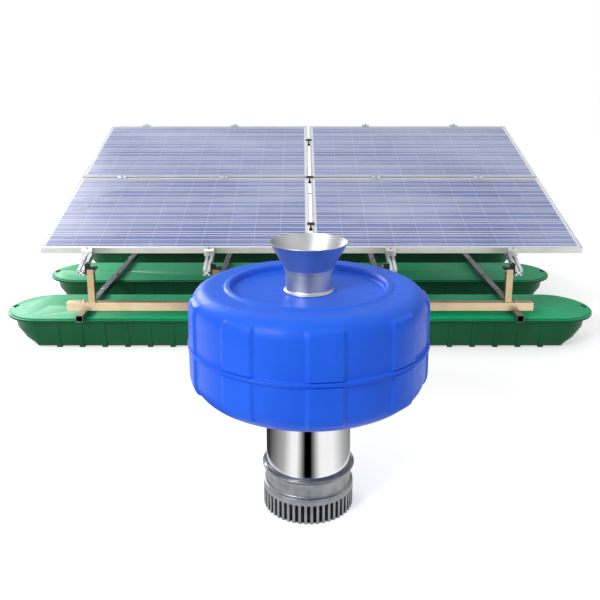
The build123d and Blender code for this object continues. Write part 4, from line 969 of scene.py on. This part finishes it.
    def build(self) -> None:
        """Build both shells."""
        material = self.shop.get(Finish.FLOAT)
        for name, profile in (("upper", self.upper_profile()), ("lower", self.lower_profile())):
            bm = spun(profile, self.axis, self.steps)
            bm.normal_update()
            self.raise_pads(bm)
            bmesh.ops.recalc_face_normals(bm, faces=bm.faces)
            piece = new_object(f"float_{name}_moulding", bm, material, 50.0)
            install(piece, "fountain", "float_polyethylene", f"float_{name}_shell")


@dataclass
class FountainPump:
    """The pump's metalwork from strainer to nozzle, and its inside. Radii and heights are in millimetres."""

    nodes: dict[str, bpy.types.Object]
    shop: Shop
    axis: Vector
    steps: int = 256
    barrel_radius: float = 160.0
    barrel_wall: float = 3.0
    barrel_foot: float = 164.0
    barrel_top: float = 658.0
    ring_radius: float = 190.0
    ring_bottom: float = 476.0
    ring_top: float = 484.0
    edge: float = 1.0
    collar_foot: float = 90.0
    collar_bore: float = 152.0
    collar_edge: float = 171.5
    collar_waist: float = 162.0
    collar_rim: float = 176.0
    throat: float = 118.0
    pipe_radius: float = 84.15
    pipe_wall: float = 3.0
    pipe_foot: float = 792.0
    neck_ring_foot: float = 850.0
    pipe_top: float = 936.0
    socket_foot: float = 926.0
    socket_radius: float = 90.0
    funnel_radius: float = 143.0
    funnel_top: float = 1030.4

    def turn(self, name: str, profile: Sequence[Corner], finish: Finish, crease: float = 35.0) -> bpy.types.Object:
        """Spin one piece of the pump.

        Args:
            name: Name of the piece.
            profile: Its outline, as radius and height.
            finish: Its finish.
            crease: Edges sharper than this angle, in degrees, stay sharp.

        Returns:
            The piece.
        """
        return new_object(name, spun(profile, self.axis, self.steps), self.shop.get(finish), crease)

    def barrel(self) -> None:
        """Polished tube with its support ring."""
        outer, inner = self.barrel_radius, self.barrel_radius - self.barrel_wall
        ring, low, high, edge = self.ring_radius, self.ring_bottom, self.ring_top, self.edge
        profile = [(inner, self.barrel_foot), (outer, self.barrel_foot), (outer, low), (ring - edge, low)]
        profile += [(ring, low + edge), (ring, high - edge), (ring - edge, high), (outer, high)]
        profile += [(outer, self.barrel_top), (inner, self.barrel_top)]
        piece = self.turn("pump_barrel_polished", profile, Finish.BARREL)
        install(piece, "fountain", "barrel_polished", "pump_barrel")

    def collar(self) -> None:
        """Cast inlet collar with a flared rim."""
        foot, seat, throat = self.collar_foot, self.barrel_foot, self.throat
        edge, waist, rim = self.collar_edge, self.collar_waist, self.collar_rim
        profile = [(self.collar_bore, foot), (edge - 0.5, foot), (edge, foot + 0.5)]
        profile += arc((edge - 3, foot + 6), 3, 0, 90, 3)
        profile += arc((waist + 4, foot + 17), 4, 240, 180, 3)
        profile += run((waist, foot + 17), (waist, seat - 17), 4)
        profile += [(waist + 0.8, seat - 13), (waist + 3, seat - 7), (waist + 7, seat - 2), (rim - 2, seat + 2.2)]
        profile += arc((rim - 2.4, seat + 5.4), 2.4, -20, 110, 5)
        profile += [(rim - 8, seat + 4.6), (waist, seat + 3), (self.barrel_radius + 0.4, seat)]
        profile += [(throat, seat), (throat, seat - 12)]
        profile += arc((throat + 32, seat - 14), 32, 184, 236, 6)
        profile += [(self.collar_bore - 4, foot + 6)]
        piece = self.turn("inlet_collar_cast", profile, Finish.CAST)
        install(piece, "fountain", "cast_stainless", "inlet_collar")

    def nozzle(self) -> None:
        """Neck with the ring that seats it on the head, and flared funnel."""
        pipe, bore = self.pipe_radius, self.pipe_radius - self.pipe_wall
        foot, ring, top = self.pipe_foot, self.neck_ring_foot, self.pipe_top
        neck = [(bore, foot), (pipe, foot), (pipe, ring), (pipe + 6.85, ring), (pipe + 8.25, ring + 1.4)]
        neck += [(pipe + 7.25, ring + 3.4), (pipe + 3.85, ring + 5.4), (pipe + 1.25, ring + 8.4)]
        neck += [(pipe, ring + 13), (pipe, top), (bore, top)]
        piece = self.turn("nozzle_neck_spun", neck, Finish.SHEET)
        install(piece, "fountain", "sheet_stainless", "nozzle_neck")
        socket, low, lip, high = self.socket_radius, self.socket_foot, self.funnel_radius, self.funnel_top
        funnel = [(pipe + 0.1, low), (socket - 1, low), (socket, low + 1), (socket, top)]
        funnel += [(socket + 0.4, top + 2.6), (lip - 0.4, high)]
        funnel += arc((lip - 1.4, high + 0.2), 1.4, 0, 180, 4)
        funnel += [(bore + 1.25, top + 2.4), (bore + 0.05, top), (pipe + 0.1, top)]
        piece = self.turn("nozzle_funnel_spun", funnel, Finish.SHEET, 30.0)
        install(piece, "fountain", "sheet_stainless", "nozzle_funnel")

    def carried(self) -> None:
        """Dress the pieces whose forms stay as they are."""
        choices = {
            "strainer": ("fountain", Finish.CAST, "cast_stainless", 0.6),
            "discharge_head": ("fountain", Finish.SHEET, "sheet_stainless", 0.6),
            "head_bolts": ("fountain", Finish.BOLT, "bolt_stainless", 0.9),
            "pump_gland": ("fountain", Finish.BLACK, "black_plastic", 1.0),
            "guide_vane_housing": ("fountain", Finish.CAST, "cast_stainless", 0.8),
            "motor_shell": ("fountain", Finish.SHEET, "sheet_stainless", 1.0),
            "stator": ("fountain", Finish.IRON, "motor_iron", 0.8),
            "bearings_and_seal": ("fountain", Finish.LATCH, "latch_chrome", 0.6),
            "pump_shaft": ("rotor", Finish.BOLT, "bolt_stainless", 0.8),
            "impeller": ("rotor", Finish.CAST, "cast_stainless", 0.8),
            "motor_rotor": ("rotor", Finish.IRON, "motor_iron", 0.8),
        }
        for name, (body, finish, slot, edge) in choices.items():
            piece = softened_copy(self.nodes[name], f"{name}_dressed", self.shop.get(finish), edge)
            install(piece, body, slot, name)

    def build(self) -> None:
        """Build the pump."""
        self.barrel()
        self.collar()
        self.nozzle()
        self.carried()


@dataclass
class Studio:
    """White studio: floor, soft lamps, a world for reflections, and the camera."""

    front_row_y: float
    pump_axis: Vector
    image_px: float = 600.0
    focal_px: float = 747.3
    principal_y_px: float = 235.5
    distance: float = 4.468
    height: float = 1.636
    pitch: float = 0.218
    sensor_mm: float = 36.0
    floor_half: float = 60.0
    floor_glow: float = 0.5
    cards_start: float = 0.47
    cards_end: float = 1.15
    cards_fade: float = 0.06
    cards_spread: float = 0.25
    ambient: float = 0.62
    overhead: float = 0.9

    def camera(self) -> None:
        """Place the camera at the photograph's viewing angle."""
        data = bpy.data.cameras.new("camera")
        data.sensor_fit = "HORIZONTAL"
        data.sensor_width = self.sensor_mm
        data.lens = self.focal_px / self.image_px * self.sensor_mm
        data.shift_y = (self.principal_y_px - self.image_px / 2) / self.image_px
        data.clip_end = 500.0
        camera = bpy.data.objects.new("camera", data)
        camera.location = (0, self.front_row_y - self.distance, self.height)
        camera.rotation_euler = (math.pi / 2 - self.pitch, 0, 0)
        bpy.context.scene.collection.objects.link(camera)
        bpy.context.scene.camera = camera

    def cards(self, tree: Tree, coordinates: Socket) -> tuple[Socket, Socket]:
        """Lay grey and black cards round the pump, which its polished barrel mirrors as upright stripes.

        Args:
            tree: The floor's node tree.
            coordinates: Object coordinates.

        Returns:
            The cards' grey, and one where they lie and zero elsewhere.
        """
        axes = add_node(tree, "ShaderNodeSeparateXYZ", {"Vector": coordinates})
        right = math_node(tree, "SUBTRACT", axes.outputs["X"], self.pump_axis.x)
        front = math_node(tree, "SUBTRACT", self.pump_axis.y, axes.outputs["Y"])
        grey = grey_ramp(tree, math_node(tree, "ARCTAN2", right, front), (
            (-120, 0.04), (-92, 0.21), (-62, 0.45), (-40, 1.0), (-28, 1.0), (-16, 0.27), (-9, 0.0),
            (5, 0.0), (12, 0.23), (26, 0.95), (34, 1.0), (60, 1.0), (75, 0.77), (97, 0.45), (131, 0.27),
        ))
        away = add_node(
            tree, "ShaderNodeVectorMath", {0: coordinates, 1: self.pump_axis[:]}, operation="DISTANCE").outputs["Value"]
        begun = ranged(tree, away, self.cards_start - self.cards_fade, self.cards_start, 0.0, 1.0)
        left = ranged(tree, away, self.cards_end, self.cards_end + self.cards_fade, 1.0, 0.0)
        ahead = ranged(tree, front, 0.0, self.cards_spread, 0.0, 1.0)
        return grey, math_node(tree, "MULTIPLY", begun, math_node(tree, "MAXIMUM", left, ahead))

    def floor(self) -> None:
        """Lay a white floor that keeps the object's shadow, with cards that only reflections show."""
        bm = bmesh.new()
        bmesh.ops.create_grid(bm, x_segments=1, y_segments=1, size=self.floor_half)
        material, tree, coordinates = fresh_material("white studio floor")
        diffuse = add_node(tree, "ShaderNodeBsdfDiffuse", {"Color": (0.8, 0.8, 0.8, 1)})
        path = add_node(tree, "ShaderNodeLightPath", {})
        mirrored = path.outputs["Is Glossy Ray"]
        seen = math_node(tree, "MAXIMUM", path.outputs["Is Camera Ray"], path.outputs["Is Transmission Ray"])
        seen = math_node(tree, "MAXIMUM", seen, mirrored)
        glow = add_node(tree, "ShaderNodeEmission", {
            "Color": (1, 1, 1, 1), "Strength": math_node(tree, "MULTIPLY", seen, self.floor_glow),
        })
        lit = add_node(tree, "ShaderNodeAddShader", {0: diffuse.outputs[0], 1: glow.outputs[0]})
        grey, near = self.cards(tree, coordinates)
        card = add_node(tree, "ShaderNodeEmission", {"Color": grey, "Strength": 1.0})
        both = add_node(tree, "ShaderNodeMixShader", {
            0: math_node(tree, "MULTIPLY", mirrored, near), 1: lit.outputs[0], 2: card.outputs[0],
        })
        add_node(tree, "ShaderNodeOutputMaterial", {"Surface": both.outputs[0]})
        floor = new_object("studio_floor", bm, material)

    def world(self) -> None:
        """Surround the object with a white studio, whose reflections hold grey cards and a dark gap."""
        world = bpy.data.worlds.new("studio")
        world.use_nodes = True
        tree = world.node_tree
        tree.nodes.clear()
        coordinates = add_node(tree, "ShaderNodeTexCoord", {}).outputs["Generated"]
        axes = add_node(tree, "ShaderNodeSeparateXYZ", {"Vector": coordinates})
        backwards = math_node(tree, "MULTIPLY", axes.outputs["Y"], -1.0)
        low = grey_ramp(tree, math_node(tree, "ARCTAN2", axes.outputs["X"], backwards), (
            (-180, 0.10), (-144, 0.28), (-100, 0.42), (-60, 0.85), (-20, 1.0), (-15, 0.015),
            (10, 0.015), (15, 1.0), (68, 1.0), (100, 0.42), (180, 0.3),
        ))
        high = ranged(tree, axes.outputs["Z"], 0.25, 0.6, 0.0, 1.0)
        cards = blend_colours(tree, high, low, (self.overhead, self.overhead, self.overhead, 1))
        path = add_node(tree, "ShaderNodeLightPath", {})
        colour = blend_colours(tree, path.outputs["Is Glossy Ray"], (1, 1, 1, 1), cards)
        plain = math_node(tree, "MAXIMUM", path.outputs["Is Camera Ray"], path.outputs["Is Glossy Ray"])
        strength = math_node(tree, "MULTIPLY_ADD", plain, 1.0 - self.ambient, self.ambient)
        background = add_node(tree, "ShaderNodeBackground", {"Color": colour, "Strength": strength})
        add_node(tree, "ShaderNodeOutputWorld", {"Surface": background.outputs[0]})
        bpy.context.scene.world = world

    def lamp(self, name: str, place: Sequence[float], aim: Sequence[float], size: float, watts: float) -> None:
        """Hang one soft lamp.

        Args:
            name: Name of the lamp.
            place: Where it hangs.
            aim: What it points at.
            size: Side of its square face.
            watts: Its power.
        """
        data = bpy.data.lights.new(name, "AREA")
        data.size = size
        data.energy = watts
        lamp = bpy.data.objects.new(name, data)
        lamp.location = place
        lamp.rotation_euler = (Vector(aim) - Vector(place)).to_track_quat("-Z", "Y").to_euler()
        bpy.context.scene.collection.objects.link(lamp)

    def build(self) -> None:
        """Set the studio up."""
        bpy.context.scene.view_settings.view_transform = "Standard"
        self.camera()
        self.floor()
        self.world()
        self.lamp("key", (-4.5, -6.5, 5.0), (0, -1.0, 0.5), 2.5, 360)
        self.lamp("back left", (-5.0, 6.0, 4.0), (-0.5, 0.6, 0.3), 3.0, 300)


def main() -> None:
    """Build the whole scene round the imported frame."""
    logging.basicConfig(level=logging.INFO, format="%(message)s")
    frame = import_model()
    nodes = frame["nodes"]
    shop = Shop()
    low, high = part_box("pump_barrel")
    axis = Vector(((low.x + high.x) / 2, (low.y + high.y) / 2, 0))
    low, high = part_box("pontoon_front_left")
    Studio((low.y + high.y) / 2, axis).build()
    Raft(nodes, shop).build()
    Array(nodes, shop).build()
    ControlBox(nodes, shop).build()
    FountainFloat(nodes, shop, axis).build()
    FountainPump(nodes, shop, axis).build()


if __name__ == "__main__":
    main()
